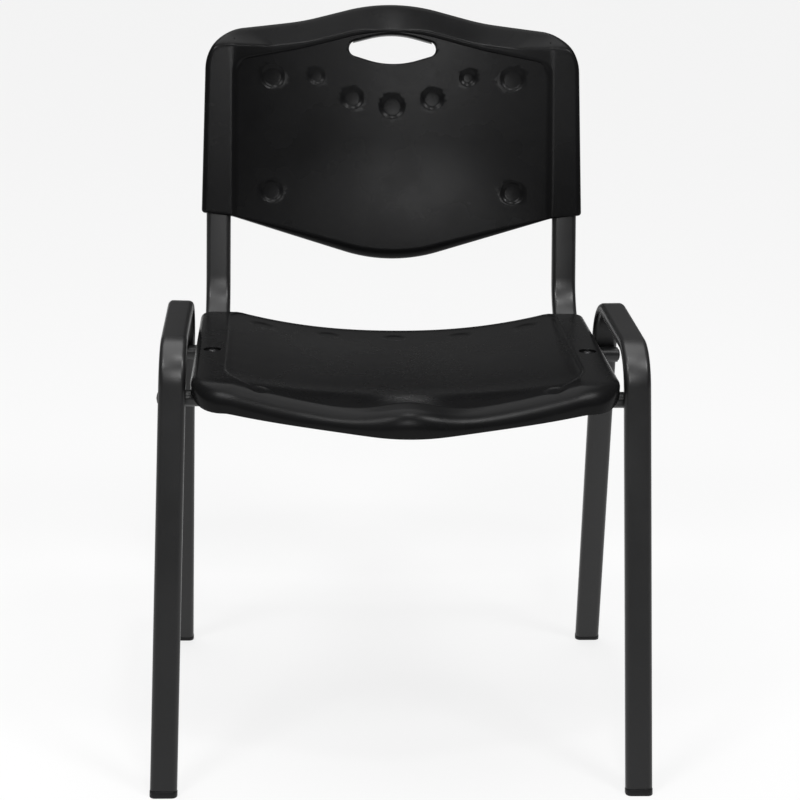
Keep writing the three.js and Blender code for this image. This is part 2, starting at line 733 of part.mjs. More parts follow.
// Bosses under the panel, which stand on the front cross tube.
function seatBosses() {
  return [-1, 1].map((side) => {
    const x = side * bossX;
    const top = seatTop(x, frontCross.y) - RECESS - SEAT_WALL / 2;
    return disc(BOSS_DIAMETER / 2, frontCross.z, top).translate(x, frontCross.y, 0);
  });
}

// Underside of the front cross tube, where the heads of the screws into the bosses sit.
const crossScrewFoot = frontCross.z - CROSS_DIAMETER / 2 - FIT_GAP;

function seatCutters() {
  const rails = [-1, 1].map((side) =>
    ovalTube(railRoute(railFrontY - RAIL_CAP - OVERRUN), FIT_GAP, 0).translate(side * railX, 0, 0)
  );
  const crossBar = disc(CROSS_DIAMETER / 2 + FIT_GAP, -FOOT_WIDTH / 2, FOOT_WIDTH / 2).rotateY(Math.PI / 2);
  const crossBars = [frontCross, rearCross].map(({ y, z }) => crossBar.clone().translate(0, y, z));
  const wells = [-1, 1].flatMap((side) => {
    const z = seatSide(seatScrewY);
    const well = disc(SCREW_WELL / 2, -SCREW_WELL_DEPTH, OVERRUN);
    const bore = disc(SCREW_DIAMETER / 2 + FIT_GAP, -SCREW_WELL_DEPTH - SEAT_SCREW_LENGTH, OVERRUN);
    return [well, bore].map((c) => c.translate(side * railX, seatScrewY, z));
  });
  const bossBoreTop = crossScrewFoot + CROSS_SCREW_LENGTH + FIT_GAP;
  const bossBores = [-1, 1].map((side) => {
    const bore = disc(SCREW_DIAMETER / 2 + FIT_GAP, frontCross.z, bossBoreTop);
    return bore.translate(side * bossX, frontCross.y, 0);
  });
  const rear = (k) => [k, SEAT_REAR - SEAT_DIMPLE_ROW, SEAT_DIMPLE_RADIUS];
  const front = (k) => [k, SEAT_FRONT_DIMPLE_ROW - SEAT_FRONT, SEAT_FRONT_DIMPLE_RADIUS];
  const dimples = [rear(-2), rear(-1), rear(0), rear(1), rear(2), front(-2), front(2)].map(
    ([k, y, radius]) => {
      const x = k * dimplePitchShare * seatPanelHalf;
      const slope = Math.atan((seatTop(x + radius, y) - seatTop(x - radius, y)) / (2 * radius));
      const dimple = disc(radius, -DIMPLE_DEPTH, OVERRUN);
      return dimple.rotateY(-slope).translate(x, y, seatTop(x, y) - RECESS);
    }
  );
  return [...rails, ...crossBars, ...wells, ...bossBores, ...dimples];
}

const seat = join(seatShell(), [...seatPads(), ...seatBosses()]);
add(chair, "seat_shell", cut(seat, seatCutters()), shellPlastic());

// Width of a screw head's flat crown as a share of the head's.
const crownShare = 0.7;

// Pan head screw with its tip up +Z and the underside of its head at zero.
function screw(length) {
  const shank = SCREW_DIAMETER / 2;
  const head = SCREW_HEAD / 2;
  const profile = [
    [0, -SCREW_HEAD_HEIGHT],
    [head * crownShare, -SCREW_HEAD_HEIGHT],
    [head, -SCREW_HEAD_HEIGHT / 2],
    [head, 0],
    [shank, 0],
    [shank, length - SCREW_DIAMETER],
    [0, length],
  ];
  const points = profile.map(([r, z]) => new THREE.Vector2(r, z));
  return closed(new THREE.LatheGeometry(points, ROUND_STEPS / 2).rotateX(Math.PI / 2));
}

for (const [side, name] of [
  [-1, "left"],
  [1, "right"],
]) {
  const top = add(chair, `${name}_seat_screw`, screw(SEAT_SCREW_LENGTH), screwSteel());
  top.rotation.x = Math.PI;
  const seatScrewZ = seatSide(seatScrewY) - SCREW_WELL_DEPTH + FIT_GAP;
  top.position.set(side * railX, seatScrewY, seatScrewZ);
  const under = add(chair, `${name}_cross_screw`, screw(CROSS_SCREW_LENGTH), screwSteel());
  under.position.set(side * bossX, frontCross.y, crossScrewFoot);
}

// Back shell, built in its own frame: x across, y up the shell and z to the front
const browHeight = BACK_TOP - BACK_BROW_DROP;
const shoulderHeight = BACK_TOP - BACK_SHOULDER_DROP;
const handHoleHeight = BACK_TOP - HAND_HOLE_DEPTH;

const backMiddle = new THREE.Vector2(0, BACK_TOP / 3);
const backHalf = railX + BACK_OVERHANG;
const sleeveFace = TUBE_THICKNESS / 2 + FIT_GAP + SLEEVE_WALL;
const backPanelHalf = backHalf - BAND;

// The shell's outline, drawn in by a distance d.
function backOutline(d) {
  return splitLong(
    roundedOutline(
      mirrored([
        [backHalf - d, d, BACK_CORNER],
        [backHalf - BACK_TAPER - d, shoulderHeight - d, BACK_SHOULDER_ROUND - d],
        [BACK_BROW, browHeight - d, BACK_BROW_ROUND],
      ]).toSpliced(3, 0, [0, BACK_TOP - d, BACK_TOP_ROUND])
        .concat([
          [-backHalf + BAND - d, -BACK_SLEEVE_DROP + d, BACK_SLEEVE_ROUND],
          [0, -BACK_BOTTOM + d, BACK_BOTTOM_ROUND],
          [backHalf - BAND + d, -BACK_SLEEVE_DROP + d, BACK_SLEEVE_ROUND],
        ])
    ),
    OUTLINE_STEP
  );
}

// Front face: hollowed across, and drawn forward again at its lower edge.
function backFace(x, y) {
  const across = 1 - Math.min(1, Math.abs(x) / backPanelHalf) ** 2;
  const low = THREE.MathUtils.smoothstep(-y, -backMiddle.y, BACK_BOTTOM);
  return sleeveFace - across * (BACK_SAG - BACK_LUMBAR * low);
}

const backRear = (x, y) => backFace(x, y) - 2 * sleeveFace;

// Corners of the panel's upper edge, a band's width inside the shell's own.
const panelTopCorners = [
  [backPanelHalf, shoulderHeight - BACK_TOP_BAND, BAND / 2],
  [BACK_BROW, browHeight - BACK_TOP_BAND, BACK_BROW_ROUND],
  [0, BACK_TOP - BACK_TOP_BAND, BACK_TOP_ROUND],
  [-BACK_BROW, browHeight - BACK_TOP_BAND, BACK_BROW_ROUND],
  [-backPanelHalf, shoulderHeight - BACK_TOP_BAND, BAND / 2],
];

// Share of a rounding that an edge has where it faces up or down, least at the side and full at
// the middle.
const edgeTurnShares = [0.5, 0.95];
const facing = (turn) => THREE.MathUtils.smoothstep(turn, ...edgeTurnShares);
const towardsMiddle = (x, half) => Math.max(0, 1 - (x / half) ** 2);

// Rounding at each point of the shell's outline: its width, and how far it falls back.
function backRoundings(outline) {
  return outwardNormals(outline).map((n, i) => {
    const { x } = outline[i];
    const foot = THREE.MathUtils.lerp(BACK_ROLL, BACK_FOOT_ROLL, facing(-n.y));
    const lip = facing(-n.y) * towardsMiddle(x, backPanelHalf);
    const lower = THREE.MathUtils.lerp(foot, BACK_LIP_ROLL, lip);
    const grip = facing(n.y) * towardsMiddle(x, railX - BACK_SHOULDER_ROUND);
    return {
      width: THREE.MathUtils.lerp(lower, BACK_GRIP_ROLL, grip),
      fall: THREE.MathUtils.lerp(lower, BACK_GRIP_DROP, grip),
      sunk: n.y < 0 && Math.abs(x) < backPanelHalf ? RECESS : 0,
    };
  });
}

function backBody() {
  const outline = backOutline(0);
  const normals = outwardNormals(outline);
  const roundings = backRoundings(outline);
  const drawn = (distance) =>
    outline.map((p, i) => p.clone().addScaledVector(normals[i], -distance(roundings[i])));
  const shoulder = drawn(({ width }) => width);
  const front = shoulder.map((p, i) => backFace(p.x, p.y) - roundings[i].sunk);
  const bandEdge = roundedOutline([
    ...panelTopCorners,
    [-backPanelHalf, BAND / 2, BACK_CORNER],
    [0, BAND - BACK_BOTTOM, BACK_BOTTOM_ROUND],
    [backPanelHalf, BAND / 2, BACK_CORNER],
  ]);
  const panel = cast(outline, backMiddle, bandEdge);
  const rings = ringShares.map((share) => lift(shrink(panel, backMiddle, share), backFace));
  for (let k = 0; k <= CORNER_STEPS; k++) {
    const angle = (k / CORNER_STEPS) * (Math.PI / 2);
    const ring = drawn(({ width }) => width * (1 - Math.sin(angle)));
    const drop = 1 - Math.cos(angle);
    rings.push(ring.map((p, i) => new THREE.Vector3(p.x, p.y, front[i] - roundings[i].fall * drop)));
  }
  rings.push(outline.map((p, i) => new THREE.Vector3(p.x, p.y, front[i] - 2 * sleeveFace)));
  for (const share of ringShares.toReversed()) {
    rings.push(lift(shrink(panel, backMiddle, share), backRear));
  }
  const { x, y } = backMiddle;
  return skin(new THREE.Vector3(x, y, backFace(x, y)), rings, new THREE.Vector3(x, y, backRear(x, y)));
}

// Sunken front panel with sloping sides, open at the shell's lower edge.
function backRecess() {
  const outline = splitLong(
    roundedOutline([
      [backPanelHalf, -BACK_BOTTOM - BAND, BACK_CORNER],
      ...panelTopCorners,
      [-backPanelHalf, -BACK_BOTTOM - BAND, BACK_CORNER],
    ]),
    OUTLINE_STEP
  );
  const floor = (x, y) => backFace(x, y) - RECESS;
  const above = (x, y) => backFace(x, y) + RECESS;
  const crest = inset(outline, -2 * BACK_STEP_WIDTH);
  const top = sleeveFace + OVERRUN;
  const rings = ringShares.map((share) => lift(shrink(outline, backMiddle, share), floor));
  rings.push(lift(crest, above), lift(crest, () => top));
  const { x, y } = backMiddle;
  return skin(new THREE.Vector3(x, y, floor(x, y)), rings, new THREE.Vector3(x, y, top));
}

// Hollow behind the panel, which leaves the panel, the sleeves, a rim and a thicker lower lip.
function backHollow() {
  const half = railX - TUBE_WIDTH / 2 - FIT_GAP - SLEEVE_WALL;
  const outline = backOutline(BACK_RIM_WALL).map((p) =>
    new THREE.Vector2(THREE.MathUtils.clamp(p.x, -half, half), p.y)
  );
  const lip = (y) => (BACK_LIP_ROLL - BACK_RIM_WALL) * THREE.MathUtils.smoothstep(-y, 0, BACK_BOTTOM);
  const floor = (x, y) => backFace(x, y) - RECESS - BACK_WALL - lip(y);
  const open = (x, y) => backRear(x, y) - OVERRUN;
  return between(outline, backMiddle, floor, open);
}

function handHole() {
  const diamond = (swell) =>
    splitLong(
      roundedOutline([
        [HAND_HOLE_HALF_WIDTH + swell, handHoleHeight, HAND_HOLE_END + swell],
        [0, handHoleHeight + HAND_HOLE_RISE + swell, HAND_HOLE_ROUND],
        [-HAND_HOLE_HALF_WIDTH - swell, handHoleHeight, HAND_HOLE_END + swell],
        [0, handHoleHeight - HAND_HOLE_DROP - swell, HAND_HOLE_ROUND],
      ]),
      OUTLINE_STEP
    );
  const hole = diamond(0);
  const middle = new THREE.Vector2(0, handHoleHeight);
  const normals = outwardNormals(hole);
  const lips = normals.map((n) =>
    THREE.MathUtils.lerp(HAND_HOLE_LOWER_LIP, HAND_HOLE_UPPER_LIP, THREE.MathUtils.smoothstep(n.y, -1, 1))
  );
  const at = (out, depth) =>
    hole.map((p, i) => {
      const edge = p.clone().addScaledVector(normals[i], out * lips[i]);
      return new THREE.Vector3(edge.x, edge.y, backFace(edge.x, edge.y) - depth(lips[i]));
    });
  const rings = [at(1, () => -OVERRUN)];
  for (let k = 0; k <= CORNER_STEPS; k++) {
    const angle = (k / CORNER_STEPS) * (Math.PI / 2);
    rings.push(at(1 - Math.sin(angle), (lip) => lip * (1 - Math.cos(angle))));
  }
  rings.push(at(0, () => 2 * sleeveFace + OVERRUN));
  const pole = (depth) => new THREE.Vector3(0, middle.y, backFace(0, middle.y) - depth);
  return skin(pole(-OVERRUN), rings, pole(2 * sleeveFace + OVERRUN));
}

// Collar round the hand hole on the rear, so that fingers meet no thin edge.
function handHoleCollar() {
  const outline = splitLong(
    roundedOutline([
      [HAND_HOLE_HALF_WIDTH, handHoleHeight, HAND_HOLE_END + BACK_RIM_WALL],
      [0, handHoleHeight + HAND_HOLE_RISE + HAND_HOLE_UPPER_LIP, HAND_HOLE_ROUND],
      [-HAND_HOLE_HALF_WIDTH, handHoleHeight, HAND_HOLE_END + BACK_RIM_WALL],
      [0, handHoleHeight - HAND_HOLE_DROP - HAND_HOLE_UPPER_LIP, HAND_HOLE_ROUND],
    ]),
    OUTLINE_STEP
  );
  const middle = new THREE.Vector2(0, handHoleHeight);
  const upper = (x, y) => backFace(x, y) - RECESS - BACK_WALL / 2;
  const lower = (x, y) => backFace(x, y) - sleeveFace - HAND_HOLE_UPPER_LIP;
  return between(outline, middle, lower, upper);
}

// Round dimples of the back: places as shares of the panel's half width and height.
const backDimpleShares = [
  [0, 0.573, 0.078],
  [0.252, 0.615, 0.07],
  [0.476, 0.728, 0.054],
  [0.753, 0.72, 0.076],
  [0.757, 0.117, 0.073],
];

function backDimples() {
  const height = BACK_TOP - BACK_TOP_BAND;
  return backDimpleShares.flatMap(([across, up, size]) =>
    (across ? [-1, 1] : [1]).map((side) => {
      const x = side * across * backPanelHalf;
      const y = up * height;
      const radius = size * backPanelHalf;
      const turn = Math.atan((backFace(x + radius, y) - backFace(x - radius, y)) / (2 * radius));
      const dimple = disc(radius, -DIMPLE_DEPTH, OVERRUN).rotateY(-turn);
      return dimple.translate(x, y, backFace(x, y) - RECESS);
    })
  );
}

// Bores of the sleeves, closed above the uprights, and the screws' holes in their rear walls.
function sleeveBores() {
  const boreTop = (UPRIGHT_HEIGHT - BACK_SLEEVE_FOOT) / Math.cos(BACK_RECLINE) + FIT_GAP;
  const shape = new THREE.Shape(
    flatOval(TUBE_WIDTH + 2 * FIT_GAP, TUBE_THICKNESS + 2 * FIT_GAP, TUBE_CORNER + FIT_GAP)
  );
  return [-1, 1].flatMap((side) => {
    const bore = new THREE.ExtrudeGeometry(shape, { depth: boreTop + BACK_BOTTOM, bevelEnabled: false });
    bore.rotateX(-Math.PI / 2).translate(side * railX, -BACK_BOTTOM, 0);
    const hole = disc(SCREW_DIAMETER / 2 + FIT_GAP, -sleeveFace - OVERRUN, 0);
    return [bore, hole.translate(side * railX, BACK_SCREW_RISE, 0)];
  });
}

const backGroup = new THREE.Group();
backGroup.position.copy(sleeveFoot);
backGroup.rotation.x = backTurn;
const hollowed = cut(backBody(), [backHollow()]);
const backSolid = cut(join(hollowed, [handHoleCollar()]), [
  backRecess(),
  handHole(),
  ...backDimples(),
  ...sleeveBores(),
]);
add(backGroup, "back_shell", backSolid, shellPlastic());
for (const [side, name] of [
  [-1, "left"],
  [1, "right"],
]) {
  const fixing = add(backGroup, `${name}_back_screw`, screw(BACK_SCREW_LENGTH), screwSteel());
  fixing.position.set(side * railX, BACK_SCREW_RISE, -sleeveFace - FIT_GAP);
}
chair.add(backGroup);

// Origin at the middle of the chair's box, on the floor.
chair.updateMatrixWorld(true);
const box = new THREE.Box3().setFromObject(chair, true);
const middle = box.getCenter(new THREE.Vector3());
chair.position.set(-middle.x, -middle.y, -box.min.z);

export default chair;
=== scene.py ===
# %% [markdown]
# # A black stacking chair
# The real chair is a welded frame of flat oval steel tube, powder coated black, that carries a
# moulded seat and a moulded back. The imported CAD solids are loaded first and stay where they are.
# Every piece below is modelled at the place and size that its solid has, with the finer shape and
# the finish of the real one.

# %% Load the frame
import math

import bmesh
import bpy
from mathutils import Matrix, Vector


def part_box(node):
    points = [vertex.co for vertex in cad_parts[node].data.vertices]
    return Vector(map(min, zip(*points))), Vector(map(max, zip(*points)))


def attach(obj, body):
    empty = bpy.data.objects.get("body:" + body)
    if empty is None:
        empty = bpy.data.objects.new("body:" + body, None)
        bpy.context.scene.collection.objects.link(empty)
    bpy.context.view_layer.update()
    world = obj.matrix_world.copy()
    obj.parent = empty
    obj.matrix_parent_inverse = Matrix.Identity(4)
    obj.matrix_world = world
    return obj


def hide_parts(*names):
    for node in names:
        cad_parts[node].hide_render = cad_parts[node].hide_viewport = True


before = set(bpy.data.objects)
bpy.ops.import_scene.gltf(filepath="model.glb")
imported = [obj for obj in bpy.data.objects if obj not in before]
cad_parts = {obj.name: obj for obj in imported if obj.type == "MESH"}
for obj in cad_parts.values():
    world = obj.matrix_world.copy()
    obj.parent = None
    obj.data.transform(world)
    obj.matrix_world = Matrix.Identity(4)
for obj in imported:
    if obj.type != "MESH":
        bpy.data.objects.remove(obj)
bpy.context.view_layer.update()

# %% [markdown]
# ## Where the pieces lie
# The solids are measured from mid way between the feet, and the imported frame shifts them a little
# along Y. One solid whose place is known, the front cross tube, gives that shift, so that every
# piece below can use the chair's own sizes, in metres.

# %% Places that the pieces share
MM = 0.001
front_cross = Vector((0, -119.209 * MM, 428 * MM))
rear_cross = Vector((0, 116.335 * MM, 416 * MM))
low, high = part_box("front_cross_tube")
shift = Vector((0, (low.y + high.y) / 2 - front_cross.y, 0))
front_cross += shift
rear_cross += shift

foot_y = 225 * MM
foot_x = 265 * MM
front_lean = math.radians(11.7)
rear_lean = math.radians(12.4)
splay = math.radians(1.2)
recline = math.radians(14.1)
rail_x = 215.5 * MM
rail_slope = (rear_cross.z - front_cross.z) / (rear_cross.y - front_cross.y)
tube_width, tube_thickness, tube_corner, tube_wall = 30 * MM, 15 * MM, 6 * MM, 1.5 * MM
cross_radius = 9 * MM
gap = 0.3 * MM


def rail_z(y):
    lift = (cross_radius + gap + tube_thickness / 2) / math.cos(math.atan(rail_slope))
    return front_cross.z + lift + (y - front_cross.y) * rail_slope


print("shift along Y:", round(shift.y / MM, 3), "mm, rail slope:", round(rail_slope, 4))

# %% [markdown]
# ## The camera
# The photograph was taken from the front, a little to the left and from above the chair, with a
# long lens. The angles, in radians, and the distance come from the edges of the legs and uprights.

# %% Camera
yaw, pitch, roll = 0.0547, 0.2872, 0.0196
forward = Vector((math.sin(yaw) * math.cos(pitch), math.cos(yaw) * math.cos(pitch), -math.sin(pitch)))
level = Vector((math.cos(yaw), -math.sin(yaw), 0))
upright = level.cross(forward)
across = math.cos(roll) * level + math.sin(roll) * upright
upward = math.cos(roll) * upright - math.sin(roll) * level

bpy.ops.object.select_all(action="DESELECT")
bpy.ops.object.camera_add(location=(0, 0, 0))
camera = bpy.context.object
camera.name = "camera"
eye = Vector((-0.1328756, shift.y - 2.454745, 1.1171669))
camera.matrix_world = Matrix.Translation(eye) @ Matrix((across, upward, -forward)).transposed().to_4x4()
camera.data.sensor_width = 36
camera.data.lens = 99.3356
camera.data.shift_x, camera.data.shift_y = -0.000625, 0.000625
camera.data.clip_end = 50
bpy.context.scene.camera = camera
bpy.context.scene.view_settings.view_transform = "Standard"
print("camera at", [round(v, 3) for v in eye])

# %% [markdown]
# ## Floor, world and lamps
# The photograph has a plain white ground. A pale floor takes the chair's soft shadow, and Light Path
# adds white to it for the camera, for reflections and for what is seen through clear things, so
# that the ground looks white without any more light on the chair.

# %% Node helpers
def new_material(name):
    material = bpy.data.materials.new(name)
    material.use_nodes = True
    return material, material.node_tree, material.node_tree.nodes["Principled BSDF"]


def set_inputs(node, values):
    """Set some of a node's inputs, each found by its name or its number."""
    for entry, value in values.items():
        node.inputs[entry].default_value = value


def add_node(tree, kind, values=None):
    node = tree.nodes.new(kind)
    set_inputs(node, values or {})
    return node


def wire(tree, source, output, target, entry):
    tree.links.new(source.outputs[output], target.inputs[entry])


# %% Floor
bpy.ops.object.select_all(action="DESELECT")
bpy.ops.mesh.primitive_plane_add(size=80, location=(0, 0, 0))
floor = bpy.context.object
floor.name = "floor"

paper, tree, shader = new_material("pale_floor")
set_inputs(shader, {"Base Color": (0.85, 0.85, 0.85, 1), "Roughness": 0.9, "Specular IOR Level": 0.1})
speckle = add_node(tree, "ShaderNodeTexNoise", {"Scale": 40})
place = add_node(tree, "ShaderNodeTexCoord")
soft_bump = add_node(tree, "ShaderNodeBump", {"Strength": 0.02})
wire(tree, place, "Object", speckle, "Vector")
wire(tree, speckle, "Fac", soft_bump, "Height")
wire(tree, soft_bump, "Normal", shader, "Normal")
floor.data.materials.append(paper)
print("floor:", paper.name)

# %% White ground for the camera and for reflections
white_share = 0.78
path = add_node(tree, "ShaderNodeLightPath")
seen = add_node(tree, "ShaderNodeMath")
seen.operation = "MAXIMUM"
shown = add_node(tree, "ShaderNodeMath")
shown.operation = "MAXIMUM"
part = add_node(tree, "ShaderNodeMath", {1: white_share})
part.operation = "MULTIPLY"
glow = add_node(tree, "ShaderNodeEmission", {"Strength": 1})
mix = add_node(tree, "ShaderNodeMixShader")
wire(tree, path, "Is Camera Ray", seen, 0)
wire(tree, path, "Is Glossy Ray", seen, 1)
wire(tree, seen, 0, shown, 0)
wire(tree, path, "Is Transmission Ray", shown, 1)
wire(tree, shown, 0, part, 0)
wire(tree, part, 0, mix, "Fac")
wire(tree, shader, 0, mix, 1)
wire(tree, glow, 0, mix, 2)
wire(tree, mix, 0, tree.nodes["Material Output"], "Surface")
print("share of white in the ground:", white_share)

# %% [markdown]
# The world is a dim grey room that grows a little lighter overhead. A sun with a very wide disc
# stands for the light of the ceiling behind the chair and casts a soft shadow. A soft box high in
# front of the chair lights what faces it: the sleeves, the middle of the back and the flat of the
# tubes. A small lamp overhead draws the bright patch on the grip and the bright lines along rounded
# edges, and one high on each side draws the line along the seat's front.

# %% World
world = bpy.data.worlds.new("studio")
bpy.context.scene.world = world
world.use_nodes = True
tree = world.node_tree
room = tree.nodes["Background"]
set_inputs(room, {"Color": (1, 1, 1, 1)})
way = add_node(tree, "ShaderNodeTexCoord")
parts = add_node(tree, "ShaderNodeSeparateXYZ")
rise = add_node(
    tree, "ShaderNodeMapRange", {"From Min": 0.15, "From Max": 0.9, "To Min": 0.12, "To Max": 0.3}
)
rise.interpolation_type = "SMOOTHSTEP"
wire(tree, way, "Generated", parts, "Vector")
wire(tree, parts, "Z", rise, "Value")
wire(tree, rise, "Result", room, "Strength")
print("world:", world.name)

# %% Ceiling light
bpy.ops.object.select_all(action="DESELECT")
bpy.ops.object.light_add(type="SUN", location=(0, 0, 4))
ceiling = bpy.context.object
ceiling.name = "ceiling"
ceiling.data.angle = math.radians(50)
ceiling.data.energy = 0.4 * math.pi
ceiling.rotation_euler = Vector((0.1, -0.25, -1)).to_track_quat("-Z", "Y").to_euler()
print(ceiling.name, "strength", round(ceiling.data.energy, 3))


# %% Soft boxes
def soft_box(name, spot, aim, size, power):
    bpy.ops.object.select_all(action="DESELECT")
    bpy.ops.object.light_add(type="AREA", location=spot)
    lamp = bpy.context.object
    lamp.name = name
    lamp.data.shape = "RECTANGLE"
    lamp.data.size, lamp.data.size_y = size
    lamp.data.energy = power
    lamp.rotation_euler = (Vector(aim) - Vector(spot)).to_track_quat("-Z", "Y").to_euler()
    print(name, "power", power)


soft_box("front_box", (0.02, -2.6, 2.1), (0, 0, 0.6), (0.5, 0.8), 17)
soft_box("upper_box", (0.1, -0.88, 3.1), (0, 0.1, 0.6), (0.2, 0.2), 12)
soft_box("left_box", (-1.25, -1.5, 2.9), (0, 0, 0.6), (0.6, 0.6), 26)
soft_box("right_box", (1.3, -1.3, 2.9), (0, 0, 0.6), (0.6, 0.6), 26)

# %% [markdown]
# ## Effects that the finishes share
# Two effects turn up on more than one finish. Moulded plastic and powder coat both have a fine
# grain, and both carry faint dust and rubbing in broad, soft patches. Each effect is a node group
# with its own inputs, and every material sets its own values on it.

# %% Grain group
def new_group(name, entries, exits):
    group = bpy.data.node_groups.new(name, "ShaderNodeTree")
    for title, value in entries:
        socket = group.interface.new_socket(title, in_out="INPUT", socket_type="NodeSocketFloat")
        socket.default_value = value
    for title in exits:
        group.interface.new_socket(title, in_out="OUTPUT", socket_type="NodeSocketFloat")
    return group, group.nodes.new("NodeGroupInput"), group.nodes.new("NodeGroupOutput")


grain, entry, leave = new_group("fine_grain", (("Scale", 1200), ("Coarse", 0.3)), ("Height",))
place = add_node(grain, "ShaderNodeTexCoord")
fine = add_node(grain, "ShaderNodeTexNoise", {"Detail": 2})
pits = add_node(grain, "ShaderNodeTexVoronoi")
blend = add_node(grain, "ShaderNodeMix")
wire(grain, place, "Object", fine, "Vector")
wire(grain, place, "Object", pits, "Vector")
wire(grain, entry, "Scale", fine, "Scale")
wire(grain, entry, "Scale", pits, "Scale")
wire(grain, entry, "Coarse", blend, 0)
wire(grain, fine, "Fac", blend, 2)
wire(grain, pits, "Distance", blend, 3)
wire(grain, blend, 0, leave, "Height")
print("group:", grain.name)

# %% Dust and rubbing group
rub, entry, leave = new_group(
    "dust_and_rubbing", (("Patch Scale", 9), ("Speck Scale", 160)), ("Patches", "Specks")
)
place = add_node(rub, "ShaderNodeTexCoord")
patches = add_node(rub, "ShaderNodeTexNoise", {"Detail": 4, "Roughness": 0.55})
specks = add_node(rub, "ShaderNodeTexNoise", {"Detail": 3})
broad = add_node(rub, "ShaderNodeMapRange", {"From Min": 0.35, "From Max": 0.7})
few = add_node(rub, "ShaderNodeMapRange", {"From Min": 0.62, "From Max": 0.78})
wire(rub, place, "Object", patches, "Vector")
wire(rub, place, "Object", specks, "Vector")
wire(rub, entry, "Patch Scale", patches, "Scale")
wire(rub, entry, "Speck Scale", specks, "Scale")
wire(rub, patches, "Fac", broad, "Value")
wire(rub, specks, "Fac", few, "Value")
wire(rub, broad, "Result", leave, "Patches")
wire(rub, few, "Result", leave, "Specks")
print("group:", rub.name)

# %% [markdown]
# ## The finishes
# Four finishes make the chair: powder coat on the steel, moulded plastic with a faint sheen on the
# seat and back, a duller plastic with a finer grain on glides and plugs, and blackened screws. All
# are near black, so what tells them apart is how rough they are and how strong their grain is.

# %% Finish builder
patch_share, rough_spread, grain_strength = 0.7, 0.05, 0.35


def finish(name, dark, light, rough, shine, scale, coarse, depth, metal=0):
    """A finish between two greys, with patches in its roughness and grain in its surface."""
    material, tree, shader = new_material(name)
    marks = add_node(tree, "ShaderNodeGroup")
    marks.node_tree = rub
    share = add_node(tree, "ShaderNodeMath", {1: patch_share})
    share.operation = "MULTIPLY_ADD"
    colour = add_node(tree, "ShaderNodeMix", {6: (*dark, 1), 7: (*light, 1)})
    colour.data_type = "RGBA"
    wire(tree, marks, "Patches", share, 0)
    wire(tree, marks, "Specks", share, 2)
    wire(tree, share, 0, colour, 0)
    wire(tree, colour, 2, shader, "Base Color")
    even = add_node(
        tree, "ShaderNodeMapRange", {"To Min": rough - rough_spread, "To Max": rough + rough_spread}
    )
    wire(tree, marks, "Patches", even, "Value")
    wire(tree, even, "Result", shader, "Roughness")
    skin = add_node(tree, "ShaderNodeGroup")
    skin.node_tree = grain
    set_inputs(skin, {"Scale": scale, "Coarse": coarse})
    bump = add_node(tree, "ShaderNodeBump", {"Strength": grain_strength, "Distance": depth})
    wire(tree, skin, "Height", bump, "Height")
    wire(tree, bump, "Normal", shader, "Normal")
    set_inputs(shader, {"Specular IOR Level": shine, "Metallic": metal})
    print(name, "roughness about", rough)
    return material


# %% The four finishes
powder_coat = finish(
    "powder_coat", (0.006, 0.006, 0.0063), (0.009, 0.009, 0.0094),
    rough=0.36, shine=0.5, scale=700, coarse=0.1, depth=0.08 * MM,
)
shell_plastic = finish(
    "shell_plastic", (0.0045, 0.0045, 0.0047), (0.0065, 0.0065, 0.0068),
    rough=0.28, shine=0.1, scale=1400, coarse=0.45, depth=0.1 * MM,
)
plug_plastic = finish(
    "plug_plastic", (0.006, 0.006, 0.0063), (0.009, 0.009, 0.0094),
    rough=0.42, shine=0.25, scale=1800, coarse=0.2, depth=0.05 * MM,
)
screw_black = finish(
    "screw_black", (0.03, 0.03, 0.031), (0.06, 0.06, 0.062),
    rough=0.38, shine=0.4, scale=2500, coarse=0.1, depth=0.03 * MM, metal=0.6,
)
slots = {
    "frame_steel": powder_coat,
    "shell_plastic": shell_plastic,
    "plug_plastic": plug_plastic,
    "screw_steel": screw_black,
}

# %% [markdown]
# Every finished piece is handed over the same way: it gets its finish, smooth shading that stops at
# real edges, the body it rides on, and the solids that it stands for.

# %% Hand a piece over
def only(piece):
    bpy.ops.object.select_all(action="DESELECT")
    piece.select_set(True)
    bpy.context.view_layer.objects.active = piece


def settle(piece):
    """Put a piece's place, turn and size into its mesh."""
    only(piece)
    bpy.ops.object.transform_apply(location=True, rotation=True, scale=True)


def hand_over(piece, slot, *nodes, angle=35):
    settle(piece)
    bpy.ops.object.shade_smooth_by_angle(angle=math.radians(angle))
    piece.data.materials.clear()
    piece.data.materials.append(slots[slot])
    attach(piece, "root")
    if nodes:
        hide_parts(*nodes)
    print(piece.name, len(piece.data.polygons), "faces, replaces", *nodes)


# %% [markdown]
# ## Flat oval tube
# A leg frame is one length of 30 by 15 mm tube, bent twice on a former. Here a plane the size of
# the tube is laid across the leg just above the floor, its corners are rounded, and its edge is
# extruded along each straight and spun round each bend, just as the tube itself was bent. Solidify
# then gives the wall its thickness.

# %% Start a tube with its rounded section
def named(name):
    """The piece that was just added, under its own name."""
    piece = bpy.context.object
    piece.name = name
    piece.data.name = name
    return piece


def tube_start(name, place, turn, margin=0):
    """The tube's section as a face, open in edit mode and larger all round by the margin."""
    bpy.ops.object.select_all(action="DESELECT")
    bpy.ops.mesh.primitive_plane_add(size=1, location=place, rotation=(turn, 0, 0))
    tube = named(name)
    tube.scale = (tube_width + 2 * margin, tube_thickness + 2 * margin, 1)
    settle(tube)
    bpy.ops.object.mode_set(mode="EDIT")
    bpy.ops.mesh.select_all(action="SELECT")
    bpy.ops.mesh.bevel(offset=tube_corner + margin, offset_type="OFFSET", segments=8, affect="VERTICES")
    return tube


# %% Moves and endings in edit mode
def move_edges(step):
    bpy.ops.mesh.extrude_edges_move(TRANSFORM_OT_translate={"value": step})


